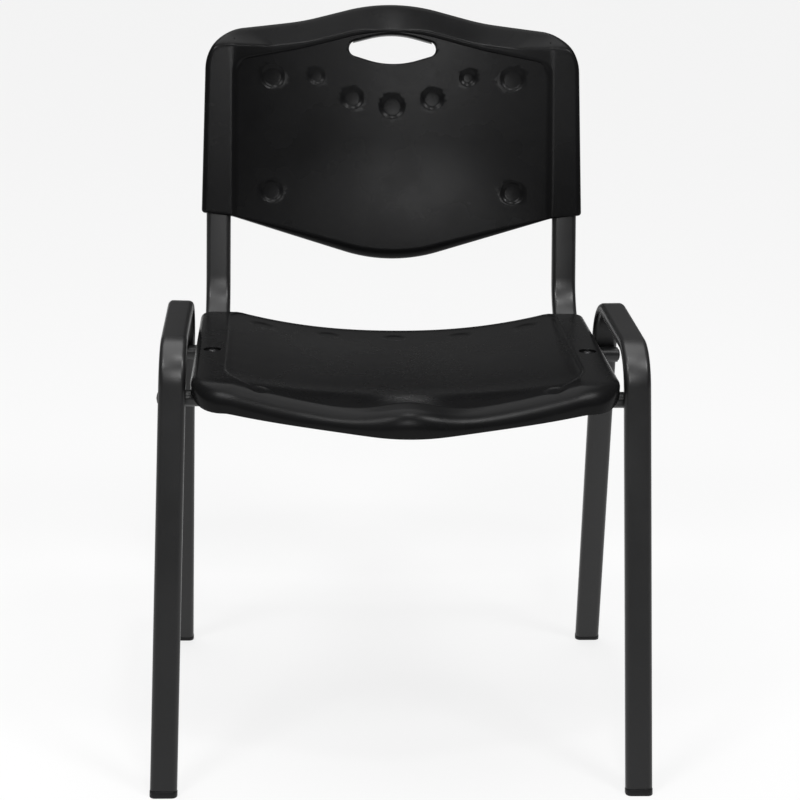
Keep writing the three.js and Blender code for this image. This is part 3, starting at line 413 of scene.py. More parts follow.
def move_faces(step):
    bpy.ops.mesh.extrude_region_move(TRANSFORM_OT_translate={"value": step})


def leave_edit():
    """Turn every face outward and go back to object mode."""
    bpy.ops.mesh.select_all(action="SELECT")
    bpy.ops.mesh.normals_make_consistent(inside=False)
    bpy.ops.object.mode_set(mode="OBJECT")


def give_wall(tube):
    wall = tube.modifiers.new("wall", "SOLIDIFY")
    wall.thickness = tube_wall
    wall.offset = -1
    bpy.ops.object.modifier_apply(modifier=wall.name)


def turn_outward(tube, start, end):
    """An open tube can come out inside out, and its last straight, from start to end, shows it."""
    middle, half = (start + end) / 2, (end - start) / 2
    facing_out = sum(
        (face.center - middle).dot(face.normal) * face.area
        for face in tube.data.polygons
        if abs((face.center - middle).dot(half)) < half.length_squared
        and (face.center - middle).length < half.length + tube_width
    )
    if facing_out < 0:
        bpy.ops.object.mode_set(mode="EDIT")
        bpy.ops.mesh.select_all(action="SELECT")
        bpy.ops.mesh.flip_normals()
        bpy.ops.object.mode_set(mode="OBJECT")


# %% Run it along its straights and bends
def bend(before, corner, after, radius):
    """Where a bend begins and ends, its centre, and its turn for the spin operator."""
    a = (before - corner).normalized()
    b = (after - corner).normalized()
    half = a.angle(b) / 2
    centre = corner + (a + b).normalized() * radius / math.sin(half)
    way = 1 if a.cross(b).x > 0 else -1
    reach = radius / math.tan(half)
    return corner + a * reach, corner + b * reach, centre, way * (math.pi - 2 * half)


def run_tube(tube, route):
    """Run the section's edge along a route of (point, bend radius) pairs, and give it its wall."""
    bpy.ops.mesh.select_all(action="SELECT")
    bpy.ops.mesh.delete(type="ONLY_FACE")
    bpy.ops.mesh.select_all(action="SELECT")
    here = route[0][0]
    for (before, _), (corner, radius), (after, _) in zip(route, route[1:], route[2:]):
        first, last, centre, turn = bend(before, corner, after, radius)
        run_up = (first - here).normalized() * MM
        move_edges(first - here - run_up)
        move_edges(run_up)
        bpy.ops.mesh.spin(steps=24, angle=turn, center=centre, axis=(1, 0, 0))
        here = last
    end = route[-1][0]
    run_out = (end - here).normalized() * MM
    move_edges(run_out)
    move_edges(end - here - run_out)
    bpy.ops.mesh.select_all(action="SELECT")
    bpy.ops.mesh.remove_doubles(threshold=1e-6)
    leave_edit()
    turn_outward(tube, here, end)
    give_wall(tube)
    print(tube.name, "size", [round(v / MM, 1) for v in tube.dimensions], "mm")


# %% Leg frames
tube_end, arch = 6.8 * MM, 484 * MM
front_bend, rear_bend = 48 * MM, 70 * MM
front_foot = Vector((0, -foot_y, 0))
rear_foot = Vector((0, foot_y, 0))
up_front = Vector((0, math.sin(front_lean), math.cos(front_lean)))
up_rear = Vector((0, -math.sin(rear_lean), math.cos(rear_lean)))
leg_start = front_foot + up_front * tube_end
legs = tube_start("left_leg_tube", leg_start, -front_lean)
run_tube(legs, (
    (leg_start, 0),
    (front_foot + up_front * (arch / up_front.z), front_bend),
    (rear_foot + up_rear * (arch / up_rear.z), rear_bend),
    (rear_foot + up_rear * tube_end, 0),
))


def twin(piece, name):
    copy = piece.copy()
    copy.data = piece.data.copy()
    copy.name = name
    copy.data.name = name
    bpy.context.collection.objects.link(copy)
    return copy


def set_splayed(piece, side):
    piece.rotation_euler = (0, -side * splay, 0)
    piece.location = (side * foot_x, shift.y, 0)


right_legs = twin(legs, "right_leg_tube")
set_splayed(legs, -1)
set_splayed(right_legs, 1)
hand_over(legs, "frame_steel", "left_leg_frame")
hand_over(right_legs, "frame_steel", "right_leg_frame")

# %% [markdown]
# ## Rails that turn up into the back's uprights
# The same tube makes the two rails. Each lies on both cross tubes under the seat, bends up behind
# it and leans back as an upright. The route has one bend, so the tube is run the same way.

# %% Rails
rail_bend, upright_top = 70 * MM, 714 * MM
upright_foot_y = 215.5 * MM + shift.y
rail_start_y = front_cross.y - 20 * MM
rail_corner = Vector((0, upright_foot_y, rail_z(upright_foot_y)))


def upright_y(z):
    return rail_corner.y + (z - rail_corner.z) * math.tan(recline)


rail_start = Vector((0, rail_start_y, rail_z(rail_start_y)))
rail_end = Vector((0, upright_y(upright_top), upright_top))
rail = tube_start("left_rail_tube", rail_start, math.atan(rail_slope) - math.pi / 2)
run_tube(rail, ((rail_start, 0), (rail_corner, rail_bend), (rail_end, 0)))
right_rail = twin(rail, "right_rail_tube")
rail.location.x = -rail_x
right_rail.location.x = rail_x
hand_over(rail, "frame_steel", "left_back_rail")
hand_over(right_rail, "frame_steel", "right_back_rail")

# %% [markdown]
# ## Cross tubes and their plugs
# Two round tubes join the leg frames and carry the rails. A many-sided cylinder without ends is
# given its wall by Solidify. Each end is closed by a domed plastic plug: a short cylinder whose
# outer face is inset and moved out in steps, so that it rounds over like the moulded plug.

# %% Cross tubes
def cross_bar(name, middle, reach):
    bpy.ops.object.select_all(action="DESELECT")
    bpy.ops.mesh.primitive_cylinder_add(
        vertices=48, radius=cross_radius, depth=2 * reach, end_fill_type="NOTHING",
        location=middle, rotation=(0, math.pi / 2, 0),
    )
    bar = named(name)
    give_wall(bar)
    return bar


crosses = (("front", front_cross), ("rear", rear_cross))
for name, middle in crosses:
    _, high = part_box(f"{name}_cross_tube")
    hand_over(cross_bar(f"{name}_cross_bar", middle, high.x), "frame_steel", f"{name}_cross_tube")

# %% Domed plugs
neck_radius, plug_length = cross_radius - 1.8 * MM, 12 * MM
rim_width, rim_height, dome_height = 1.7 * MM, 0.4 * MM, 2.6 * MM
dome_steps, dome_limit = 6, 86


def pick_end(piece, side):
    """Select in edit mode only the faces that look along X to this side."""
    bpy.ops.object.mode_set(mode="EDIT")
    bpy.ops.mesh.select_mode(type="FACE")
    bpy.ops.mesh.select_all(action="DESELECT")
    mesh = bmesh.from_edit_mesh(piece.data)
    for face in mesh.faces:
        face.select = face.normal.x * side > 0.9
    bmesh.update_edit_mesh(piece.data)


def domed_plug(name, end, side):
    bpy.ops.object.select_all(action="DESELECT")
    bpy.ops.mesh.primitive_cylinder_add(
        vertices=40, radius=neck_radius, depth=plug_length,
        location=end - Vector((side * plug_length / 2, 0, 0)), rotation=(0, side * math.pi / 2, 0),
    )
    plug = named(name)
    settle(plug)
    pick_end(plug, side)
    bpy.ops.mesh.inset(thickness=-rim_width, depth=0)
    move_faces((side * rim_height, 0, 0))
    angle = 90 / dome_steps
    for step in range(1, dome_steps + 1):
        was, now = math.radians(angle * (step - 1)), math.radians(min(angle * step, dome_limit))
        narrow = 0.9999 * cross_radius * (math.cos(was) - math.cos(now))
        bpy.ops.mesh.inset(thickness=narrow, depth=dome_height * (math.sin(now) - math.sin(was)))
    bpy.ops.object.mode_set(mode="OBJECT")
    return plug


hands = ((-1, "left"), (1, "right"))
for name, middle in crosses:
    _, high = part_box(f"{name}_cross_tube")
    for side, hand in hands:
        end = Vector((side * (high.x + gap), middle.y, middle.z))
        plug = domed_plug(f"{name}_{hand}_end_plug", end, side)
        hand_over(plug, "plug_plastic", f"{name}_{hand}_cross_plug")

# %% [markdown]
# ## Foot glides
# A plastic glide is pushed up into each tube end. Only its collar shows, a hair wider than the
# tube. The oval section is extruded down along the leg, cut flat by the floor with bisect, and its
# edges are broken with a small bevel.

# %% Glides
collar_height, collar_margin, collar_drop = 6.5 * MM, 0.4 * MM, 12 * MM
insert_step, insert_length = 2.2 * MM, 22 * MM


def glide(name, side, foot, along, lean):
    piece = tube_start(name, foot + along * collar_height, -lean, collar_margin)
    bpy.ops.mesh.select_mode(type="FACE")
    bpy.ops.mesh.select_all(action="SELECT")
    bpy.ops.mesh.inset(thickness=insert_step, depth=0)
    move_faces(along * insert_length)
    bpy.ops.mesh.select_all(action="DESELECT")
    bpy.ops.mesh.select_mode(type="EDGE")
    bpy.ops.mesh.select_non_manifold()
    move_edges(-along * collar_drop)
    leave_edit()
    set_splayed(piece, side)
    settle(piece)
    bpy.ops.object.mode_set(mode="EDIT")
    bpy.ops.mesh.select_all(action="SELECT")
    bpy.ops.mesh.bisect(plane_co=(0, 0, 0), plane_no=(0, 0, 1), use_fill=True, clear_inner=True)
    leave_edit()
    edge = piece.modifiers.new("broken edge", "BEVEL")
    edge.width = 0.7 * MM
    edge.segments = 2
    edge.limit_method = "ANGLE"
    edge.angle_limit = math.radians(50)
    bpy.ops.object.modifier_apply(modifier=edge.name)
    return piece


feet = (("front", front_foot, up_front, front_lean), ("rear", rear_foot, up_rear, -rear_lean))
for end, foot, along, lean in feet:
    for side, hand in hands:
        piece = glide(f"{end}_{hand}_glide", side, foot, along, lean)
        hand_over(piece, "plug_plastic", f"{end}_{hand}_foot_glide")

# %% [markdown]
# ## Weld beads
# The cross tubes are welded to the legs and to the rails. A weld on such a chair is a short, lumpy
# bead. One bead is modelled from a thin cylinder whose rings are swollen one by one like the
# ripples of a weld, and it is then copied to each corner where two tubes meet.

# %% One bead
def weld_bead(length, radius, ripples=13):
    step = length / (ripples + 1)
    bpy.ops.object.select_all(action="DESELECT")
    bpy.ops.mesh.primitive_cylinder_add(
        vertices=12, radius=radius, depth=step, end_fill_type="NGON",
        location=(-length / 2, 0, 0), rotation=(0, math.pi / 2, 0),
    )
    bead = named("weld_bead")
    settle(bead)
    pick_end(bead, 1)
    for ripple in range(ripples):
        move_faces((step, 0, 0))
        swell = 1.16 if ripple % 2 else 0.862
        bpy.ops.transform.resize(value=(1, swell, swell))
    bpy.ops.object.mode_set(mode="OBJECT")
    soft = bead.modifiers.new("soft", "SUBSURF")
    soft.levels = soft.render_levels = 1
    bpy.ops.object.modifier_apply(modifier=soft.name)
    return bead


# %% Beads in their corners
seam_off, seam_in = 5.6 * MM, cross_radius - 1.6 * MM
places = []
for middle, way in ((front_cross, 1), (rear_cross, -1)):
    leg_x = foot_x - middle.z * math.tan(splay)
    for side in (-1, 1):
        for rise in (-1, 1):
            places.append(Vector((side * leg_x, middle.y - way * seam_in, middle.z + rise * seam_off)))
        for reach in (-1, 1):
            places.append(Vector((side * rail_x, middle.y + reach * seam_off, middle.z + seam_in)))
bead = weld_bead(25 * MM, 2 * MM)
for k, place in enumerate(places):
    copy = twin(bead, f"weld_{k + 1:02d}")
    copy.location = place
    hand_over(copy, "frame_steel", angle=60)
bpy.data.objects.remove(bead)

# %% [markdown]
# ## Outlines of the mouldings
# Both shells are drawn first as an outline with rounded corners, as a mould maker would. The
# helpers round the corners, split long stretches, draw an outline in by some distance, and find
# where a line from the middle of the panel crosses it.

# %% Outline helpers
def smooth(value, low, high):
    t = min(1, max(0, (value - low) / (high - low)))
    return t * t * (3 - 2 * t)


def mix_of(a, b, share):
    return a + (b - a) * share


def rounded(corners, chord=5 * MM, quarter=12):
    """An outline through (x, y, radius) corners, with steps no longer than a chord on each arc."""
    points = []
    for i, (x, y, radius) in enumerate(corners):
        corner = Vector((x, y))
        a = (Vector(corners[i - 1][:2]) - corner).normalized()
        b = (Vector(corners[(i + 1) % len(corners)][:2]) - corner).normalized()
        half = a.angle(b) / 2
        middle = corner + (a + b).normalized() * radius / math.sin(half)
        start = corner + a * radius / math.tan(half) - middle
        turn = (math.pi - 2 * half) * (1 if b.cross(a) > 0 else -1)
        steps = math.ceil(max(abs(turn) / (math.pi / 2) * quarter, abs(turn) * radius / chord))
        for k in range(steps + 1):
            c, s = math.cos(turn * k / steps), math.sin(turn * k / steps)
            points.append(middle + Vector((c * start.x - s * start.y, s * start.x + c * start.y)))
    return points


def split_long(points, longest=7 * MM):
    result = []
    for point, after in zip(points, points[1:] + points[:1]):
        count = max(1, math.ceil((after - point).length / longest))
        result += [point.lerp(after, k / count) for k in range(count)]
    return result


def outward(points):
    result = []
    for before, after in zip(points[-1:] + points[:-1], points[1:] + points[:1]):
        along = after - before
        result.append(Vector((along.y, -along.x)).normalized())
    return result


def drawn_in(points, distances):
    if not isinstance(distances, list):
        distances = [distances] * len(points)
    return [p - n * d for p, n, d in zip(points, outward(points), distances)]


def crossing(points, middle, outline):
    """Where the line from the middle to each point, drawn on, last crosses the outline."""
    result = []
    for point in points:
        ray = point - middle
        reach = 0
        for a, b in zip(outline, outline[1:] + outline[:1]):
            edge, start = b - a, a - middle
            scale = ray.cross(edge)
            if abs(scale) < 1e-12:
                continue
            along, t = start.cross(ray) / scale, start.cross(edge) / scale
            if -1e-9 <= along <= 1 + 1e-9 and t > 0:
                reach = max(reach, t)
        result.append(middle + ray * reach)
    return result


# %% [markdown]
# ## A skin laid ring by ring
# A moulded shell is one skin: over its panel, round its edge and back along its underside. It
# starts as a circle with one point for each point of the outline. Its edge is extruded again and
# again, and after each extrusion the new ring's points are set on the next line of the shell. The
# two small holes that are left in the middle are closed by merging one last ring to a point.

# %% Lay a skin
def first_ring(name, points):
    bpy.ops.object.select_all(action="DESELECT")
    bpy.ops.mesh.primitive_circle_add(vertices=len(points), radius=0.2, fill_type="NOTHING")
    shell = named(name)
    station = shell.data.attributes.new("station", "INT", "POINT")
    station.data.foreach_set("value", list(range(len(points))))
    bpy.ops.object.mode_set(mode="EDIT")
    bpy.ops.mesh.select_mode(type="VERT")
    bpy.ops.mesh.select_all(action="SELECT")
    set_ring(shell, points)
    return shell


def set_ring(shell, points):
    """Set each selected vertex on the point that has its station's number."""
    mesh = bmesh.from_edit_mesh(shell.data)
    station = mesh.verts.layers.int["station"]
    for vert in mesh.verts:
        if vert.select:
            vert.co = points[vert[station]]
    bmesh.update_edit_mesh(shell.data)


def next_ring(shell, points):
    bpy.ops.mesh.extrude_edges_move()
    set_ring(shell, points)


def close_middle(shell, middle, count):
    next_ring(shell, [middle] * count)
    bpy.ops.mesh.remove_doubles(threshold=1e-7)


def lay_skin(name, rings, first_middle, last_middle):
    shell = first_ring(name, rings[0])
    for ring in rings[1:]:
        next_ring(shell, ring)
    close_middle(shell, last_middle, len(rings[0]))
    bpy.ops.mesh.select_all(action="DESELECT")
    bpy.ops.mesh.select_non_manifold()
    close_middle(shell, first_middle, len(rings[0]))
    leave_edit()
    shell.data.attributes.remove(shell.data.attributes["station"])
    print(name, len(rings), "rings,", len(shell.data.polygons), "faces")
    return shell


# %% Where the rings of a panel and an edge lie
panel_shares = [0.03] + [k / 24 for k in range(2, 24)] + [0.985]
edge_shares = [math.sin(math.radians(90 * k / 24)) for k in range(1, 25)]


def from_middle(middle, points, share):
    return [middle.lerp(p, share) for p in points]


def between(points, ends, share):
    return [p.lerp(q, share) for p, q in zip(points, ends)]


def at_heights(points, heights):
    return [Vector((p.x, p.y, z)) for p, z in zip(points, heights)]


print("rings over a panel:", len(panel_shares), "and over an edge:", len(edge_shares))

# %% [markdown]
# ## The seat
# The seat is dished across, its two side bands lie over the rails, its panel is a little sunken,
# and its front rolls down with a soft rise in the middle. Height functions say how high the
# moulding lies at each place, and the rings are laid on them.

# %% Seat sizes and outline
seat_half, seat_rear, seat_front = 235.5 * MM, 185 * MM, 228 * MM
front_fall, front_round = 0.272, 143 * MM
band = 38 * MM
seat_panel_half = seat_half - band
front_margin, rear_margin = 25 * MM, 8 * MM
front_point = seat_front + front_round * (math.hypot(1, front_fall) - 1)
seat_middle = Vector((0, (seat_rear - seat_front) / 2))


def seat_line(half, front, rear, point_round, front_corner, rear_corner):
    """An outline with a blunt point in front and two rounded corners on each side."""
    right = [(half, front + front_fall * half, front_corner), (half, rear, rear_corner)]
    left = [(-x, y, radius) for x, y, radius in reversed(right)]
    return rounded([(0, front, point_round)] + right + left)


seat_outline = split_long(
    seat_line(seat_half, -front_point, seat_rear, front_round, 45 * MM, 15 * MM)
)
seat_panel = seat_line(
    seat_panel_half, front_margin - front_point, seat_rear - rear_margin, 336 * MM, 80 * MM, 19 * MM
)
print("seat outline points:", len(seat_outline))

# %% Seat heights
seat_step, step_width, seat_wall = 1.6 * MM, 3 * MM, 4 * MM
seat_over_rail, dish, dish_power = 8.7 * MM, 19 * MM, 2.2
middle_slope, side_slope = 0.0089, 0.0289
pommel_rise, pommel_width, leg_fall = 11.4 * MM, 42 * MM, 7.4 * MM


def rail_top(y):
    return rail_z(y + shift.y) + tube_thickness / 2 / math.cos(math.atan(rail_slope))


def seat_base(x, y):
    middle = rail_top(y) + seat_over_rail - dish + y * middle_slope
    side = rail_top(y) + seat_over_rail + y * side_slope
    return mix_of(middle, side, min(1, abs(x) / (0.96 * seat_panel_half)) ** dish_power)


def front_form(x, y):
    """The rise in the middle of the front, and the fall for the legs on both sides of it."""
    along = smooth(-y, seat_front - 85 * MM, seat_front - 14 * MM)
    return along * (pommel_rise * math.exp(-((x / pommel_width) ** 2)) - leg_fall)


def seat_top(x, y):
    return seat_base(x, y) + front_form(x, y)


def seat_recess(y):
    """The panel's step, which runs out before the front roll."""
    return seat_step * (1 - smooth(-y, 110 * MM, 190 * MM))


print("seat's middle at", round(seat_top(*seat_middle) / MM, 1), "mm")

# %% How the seat's edge rolls over
side_roll, front_roll, pommel_roll, pommel_roll_width = 8 * MM, 19 * MM, 9 * MM, 50 * MM
side_lip, front_lip, nose_lip, nose_width, corner_lip = 17 * MM, 26.5 * MM, 3.2 * MM, 68 * MM, 6 * MM
slope_share, side_crease, front_crease = 0.35, 8 * MM, 15 * MM

seat_normals = outward(seat_outline)
frontness = [smooth(-n.y, 0, 1) for n in seat_normals]
seat_rolls = [
    mix_of(side_roll, front_roll + pommel_roll * math.exp(-((p.x / pommel_roll_width) ** 2)), front)
    for p, front in zip(seat_outline, frontness)
]
seat_lowest, seat_depths = [], []
for p, roll, front in zip(drawn_in(seat_outline, seat_rolls), seat_rolls, frontness):
    nose = nose_lip * math.exp(-((p.x / nose_width) ** 2))
    lip = mix_of(side_lip, front_lip + nose + corner_lip * (p.x / seat_half) ** 2, front)
    seat_lowest.append(seat_base(p.x, p.y) - lip)
    seat_depths.append(min(roll, (seat_top(p.x, p.y) - seat_lowest[-1]) * 0.8))


def seat_rolled(points, sunk, lower=0):
    """Points of a ring on the seat's face, which slopes from a crease and then rolls round."""
    heights = []
    for i, p in enumerate(points):
        distance = (seat_outline[i] - p).dot(seat_normals[i])
        reach = min(1, max(0, 1 - distance / seat_rolls[i]))
        near = min(1, max(0, 1 - distance / mix_of(side_crease, front_crease, frontness[i])))
        slope = slope_share * frontness[i]
        drop = seat_depths[i] * (slope * reach + (1 - slope) * (1 - math.sqrt(1 - near * near)))
        heights.append(seat_top(p.x, p.y) - drop - sunk * seat_recess(p.y) - lower)
    return at_heights(points, heights)


print("lowest edge of the seat:", round(min(seat_lowest) / MM, 1), "mm")

# %% Seat rings
def seat_rings():
    panel = crossing(seat_outline, seat_middle, seat_panel)
    rings = [seat_rolled(from_middle(seat_middle, panel, share), 1) for share in panel_shares]
    for k in range(7):
        crest = drawn_in(panel, -step_width * k / 6)
        rings.append(seat_rolled(crest, 1 - smooth(k, 0, 6)))
    rings += [seat_rolled(between(crest, seat_outline, share), 0) for share in edge_shares]
    for inward, rise in ((0, 1.2), (0.35, 0.35), (1.2, 0), (2.2, 0), (2.8, 0.25), (3, 0.9)):
        edge = drawn_in(seat_outline, inward * MM)
        rings.append(at_heights(edge, [z + rise * MM for z in seat_lowest]))
    wall = seat_step + seat_wall
    inner = drawn_in(seat_outline, 3 * MM)
    under = seat_rolled(inner, 0, wall)
    rings.append(at_heights(inner, [max(z + 3 * MM, u.z) for z, u in zip(seat_lowest, under)]))
    start, bottom = drawn_in(seat_outline, 8 * MM), from_middle(seat_middle, panel, 0.96)
    rings += [seat_rolled(between(start, bottom, share), 0, wall) for share in (0, 0.35, 0.7)]
    for share in (0.96, 0.85, 0.7, 0.55, 0.4, 0.25, 0.12, 0.04):
        rings.append(seat_rolled(from_middle(seat_middle, panel, share), 0, wall))
    return rings


middle_top = seat_top(*seat_middle) - seat_step
seat = lay_skin(
    "seat_moulding", seat_rings(),
    Vector((*seat_middle, middle_top)), Vector((*seat_middle, middle_top - seat_wall)),
)
seat.location.y = shift.y
settle(seat)

# %% [markdown]
# ## Wells, dimples, pads and bosses of the seat
# The mould leaves five shallow dimples near the rear edge, two near the front, and a round well
# over each rail for a screw. Under the seat, pads rest on the rails and two bosses stand on the
# front cross tube. Pads and bosses are joined to the shell, and the wells and dimples are cut out.

# %% Cutters and joins
def turned_disc(name, place, turn, profile, vertices=48):
    """A round body built up from its lowest ring: profile is (radius, height) pairs."""
    bpy.ops.object.select_all(action="DESELECT")
    bpy.ops.mesh.primitive_circle_add(vertices=vertices, radius=profile[0][0], fill_type="NGON")
    piece = named(name)
    bpy.ops.object.mode_set(mode="EDIT")
    bpy.ops.mesh.select_all(action="SELECT")
    bpy.ops.transform.translate(value=(0, 0, profile[0][1]))
    for (was, low), (now, high) in zip(profile, profile[1:]):
        move_faces((0, 0, high - low))
        bpy.ops.transform.resize(value=(now / was, now / was, 1))
    leave_edit()
    piece.matrix_world = Matrix.Translation(place) @ turn.to_matrix().to_4x4()
    return piece


def combine(body, tools, operation):
    only(tools[0])
    for tool in tools:
        tool.select_set(True)
    if len(tools) > 1:
        bpy.ops.object.join()
    tool = bpy.context.object
    settle(tool)
    only(body)
    change = body.modifiers.new("change", "BOOLEAN")
    change.operation = operation
    change.solver = "EXACT"
    change.use_self = False
    change.object = tool
    bpy.ops.object.modifier_apply(modifier=change.name)
    bpy.data.objects.remove(tool)
    print(body.name, operation.lower(), "->", len(body.data.polygons), "faces")


# %% Turns and profiles
up_turn = Vector((0, 0, 1)).to_track_quat("Z", "Y")


def slope_turn(surface, x, y, reach):
    """Turn from +Z to the normal of a height surface."""
    dx = (surface(x + reach, y) - surface(x - reach, y)) / (2 * reach)
    dy = (surface(x, y + reach) - surface(x, y - reach)) / (2 * reach)
    return Vector((-dx, -dy, 1)).to_track_quat("Z", "Y")


def dimple_profile(radius, depth):
    return (
        (radius - 6 * MM, -depth), (radius - 4.6 * MM, -depth * 0.93), (radius - 3.2 * MM, -depth * 0.72),
        (radius - 1.8 * MM, -depth * 0.38), (radius - 0.6 * MM, -depth * 0.12), (radius + 0.6 * MM, 0),
        (radius + 2.4 * MM, 0.5 * MM), (radius + 3 * MM, 4 * MM),
    )


# %% Pads and bosses
pad_half_width, pad_half_length, pad_bevel = 15 * MM, 8 * MM, 1.2 * MM
boss_x = 0.76 * seat_panel_half
well_y = -13 * MM


def block(name, low, high):
    bpy.ops.object.select_all(action="DESELECT")
    bpy.ops.mesh.primitive_cube_add(size=1, location=(low + high) / 2)
    piece = named(name)
    piece.scale = high - low
    settle(piece)
    bpy.ops.object.mode_set(mode="EDIT")
    bpy.ops.mesh.select_all(action="SELECT")
    bpy.ops.mesh.bevel(offset=pad_bevel, segments=3, affect="EDGES")
    bpy.ops.object.mode_set(mode="OBJECT")
    return piece


pads = []
for y in (front_cross.y - shift.y, well_y, rear_cross.y - shift.y):
    foot, top = rail_top(y) + 0.5 * MM, seat_base(rail_x, y) - seat_wall
    for side in (-1, 1):
        pads.append(block(
            "pad",
            Vector((side * rail_x - pad_half_width, y + shift.y - pad_half_length, foot)),
            Vector((side * rail_x + pad_half_width, y + shift.y + pad_half_length, top)),
        ))
top = seat_top(boss_x, front_cross.y - shift.y) - seat_wall - 0.5 * MM
base = front_cross.z + cross_radius + gap
for side in (-1, 1):
    pads.append(turned_disc(
        "boss", Vector((side * boss_x, front_cross.y, base)), up_turn,
        ((7.2 * MM, 0), (8 * MM, 0.8 * MM), (8.3 * MM, top - base)),
    ))
combine(seat, pads, "UNION")

# %% Wells and dimples
cutters = []
for side in (-1, 1):
    place = Vector((side * rail_x, well_y + shift.y, seat_base(rail_x, well_y)))
    cutters.append(turned_disc(
        "well", place, up_turn,
        ((9.2 * MM, -3.5 * MM), (9.8 * MM, -3.1 * MM), (10 * MM, -2.5 * MM), (10 * MM, -0.5 * MM),
         (10.4 * MM, -0.1 * MM), (11.4 * MM, 1.5 * MM)),
    ))
rear_row = [(k * 0.405 * seat_panel_half, seat_rear - 42 * MM, 14 * MM) for k in (-2, -1, 0, 1, 2)]
front_row = [(k * 160 * MM, 64 * MM - seat_front, 12 * MM) for k in (-1, 1)]
for x, y, radius in rear_row + front_row:
    place = Vector((x, y + shift.y, seat_top(x, y) - seat_recess(y)))
    turn = slope_turn(seat_top, x, y, radius)
    cutters.append(turned_disc("dimple", place, turn, dimple_profile(radius, 1.3 * MM)))
combine(seat, cutters, "DIFFERENCE")
hand_over(seat, "shell_plastic", "seat_shell", angle=28)

# %% [markdown]
# ## The back
# The back is drawn flat, as seen square on, and stood up on the uprights at the end. Its two side
# bands are sleeves over the tubes. Between them lies a sunken panel, hollow across, whose lower
# edge rolls back under itself. The top edge leans back as a rounded grip above the hand hole.

# %% Back outline
back_half = rail_x + 21 * MM
back_top = 271 * MM
brow_x, brow, brow_round = 112 * MM, back_top - 30.4 * MM, 300 * MM
shoulder_height = back_top - 47.8 * MM
top_round, lower_round = 218 * MM, 203 * MM
grip_height = 36 * MM
back_panel_half = back_half - band
step_half, back_step = back_panel_half - 5 * MM, 1.7 * MM
back_middle = Vector((0, back_top / 3))


def both_sides(right, top):
    """Corners of the right half, the middle of the top, and the right half mirrored."""
    return right + [(0, top, top_round)] + [(-x, y, radius) for x, y, radius in reversed(right)]


def back_outline():
    right = [
        (back_half, 0, 4 * MM),
        (back_half - 5 * MM, shoulder_height, 54 * MM),
        (brow_x, brow, brow_round),
    ]
    corner_y = -4.3 * MM
    below = [
        (-back_panel_half, corner_y, 40 * MM),
        (0, -64 * MM, lower_round),
        (back_panel_half, corner_y, 40 * MM),
    ]
    points = split_long(rounded(both_sides(right, back_top) + below))
    dense = []
    for point, after in zip(points, points[1:] + points[:1]):
        under_sleeve = max(point.y, after.y) < 4 * MM and 190 * MM < abs(point.x + after.x) / 2 < 210 * MM
        count = math.ceil((after - point).length / MM) if under_sleeve else 1
        dense += [point.lerp(after, k / count) for k in range(count)]
    return dense


shell_line = back_outline()
top_line = both_sides([
    (step_half, shoulder_height - grip_height, 19 * MM),
    (brow_x, brow - grip_height, brow_round),
], back_top - grip_height)
groove = rounded(top_line + [(-step_half, -200 * MM, MM), (step_half, -200 * MM, MM)])
panel_line = rounded(top_line + [
    (-step_half, 3 * MM, 3 * MM), (0, -50 * MM, lower_round), (step_half, 3 * MM, 3 * MM)
])
print("back outline points:", len(shell_line))

# %% Back depths
sleeve_wall, back_wall = 3 * MM, 3.5 * MM
sleeve_face = tube_thickness / 2 + gap + sleeve_wall
panel_sag, lower_sag = 22 * MM, 16 * MM
side_step_width, top_step_width = 6.4 * MM, 3.5 * MM


def back_face(x, y):
    """How far the face lies in front of the uprights' middle: the panel sags back from the bands."""
    sag = mix_of(panel_sag, lower_sag, smooth(-y, -back_middle.y, 64 * MM))
    return sleeve_face - sag * (1 - min(1, abs(x) / back_panel_half) ** 2)


def outside_groove(p):
    """Distance past the line where the sunken panel begins, and the step's width there."""
    inside, nearest, width = False, 1, side_step_width
    for a, b in zip(groove, groove[1:] + groove[:1]):
        if (a.y > p.y) != (b.y > p.y) and p.x < a.x + (p.y - a.y) / (b.y - a.y) * (b.x - a.x):
            inside = not inside
        edge = b - a
        t = min(1, max(0, (p - a).dot(edge) / edge.length_squared))
        off = p - a - edge * t
        if off.length < nearest:
            nearest = off.length
            width = mix_of(side_step_width, top_step_width, smooth(abs(off.normalized().y), 0, 1))
    return (0 if inside else nearest), width


def sunk(p):
    if abs(p.x) < step_half - 2 * MM and p.y < 150 * MM:
        return back_step
    past, width = outside_groove(p)
    return back_step * (1 - math.sin(math.pi / 2 * min(1, past / width)))


print("hollow of the back:", round((sleeve_face - back_face(*back_middle)) / MM, 1), "mm")

# %% How the back's edge rolls over
edge_roll, under_roll, lip_roll = 6 * MM, 2.5 * MM, 8.5 * MM
grip_roll, nose_roll, nose_half, grip_fall = 29 * MM, 7 * MM, 36 * MM, 17 * MM
grip_lean, lip_lean = 0.95, 0.4
edge_round, edge_reach = 1.6 * MM, 5 * MM

back_normals = outward(shell_line)
back_rolls, back_falls, back_leans = [], [], []
for p, n in zip(shell_line, back_normals):
    grip, under = smooth(n.y, 0.5, 0.95), smooth(-n.y, 0.5, 0.95)
    lower_lip = under * max(0, 1 - (abs(p.x) / (196 * MM)) ** 2)
    edge = mix_of(edge_roll, under_roll, under) + lip_roll * lower_lip
    nose = nose_roll * math.exp(-((p.x / nose_half) ** 2))
    back_rolls.append(mix_of(edge, grip_roll + nose, grip))
    back_falls.append(mix_of(edge, grip_fall, grip))
    back_leans.append(grip_lean * grip + lip_lean * lower_lip)


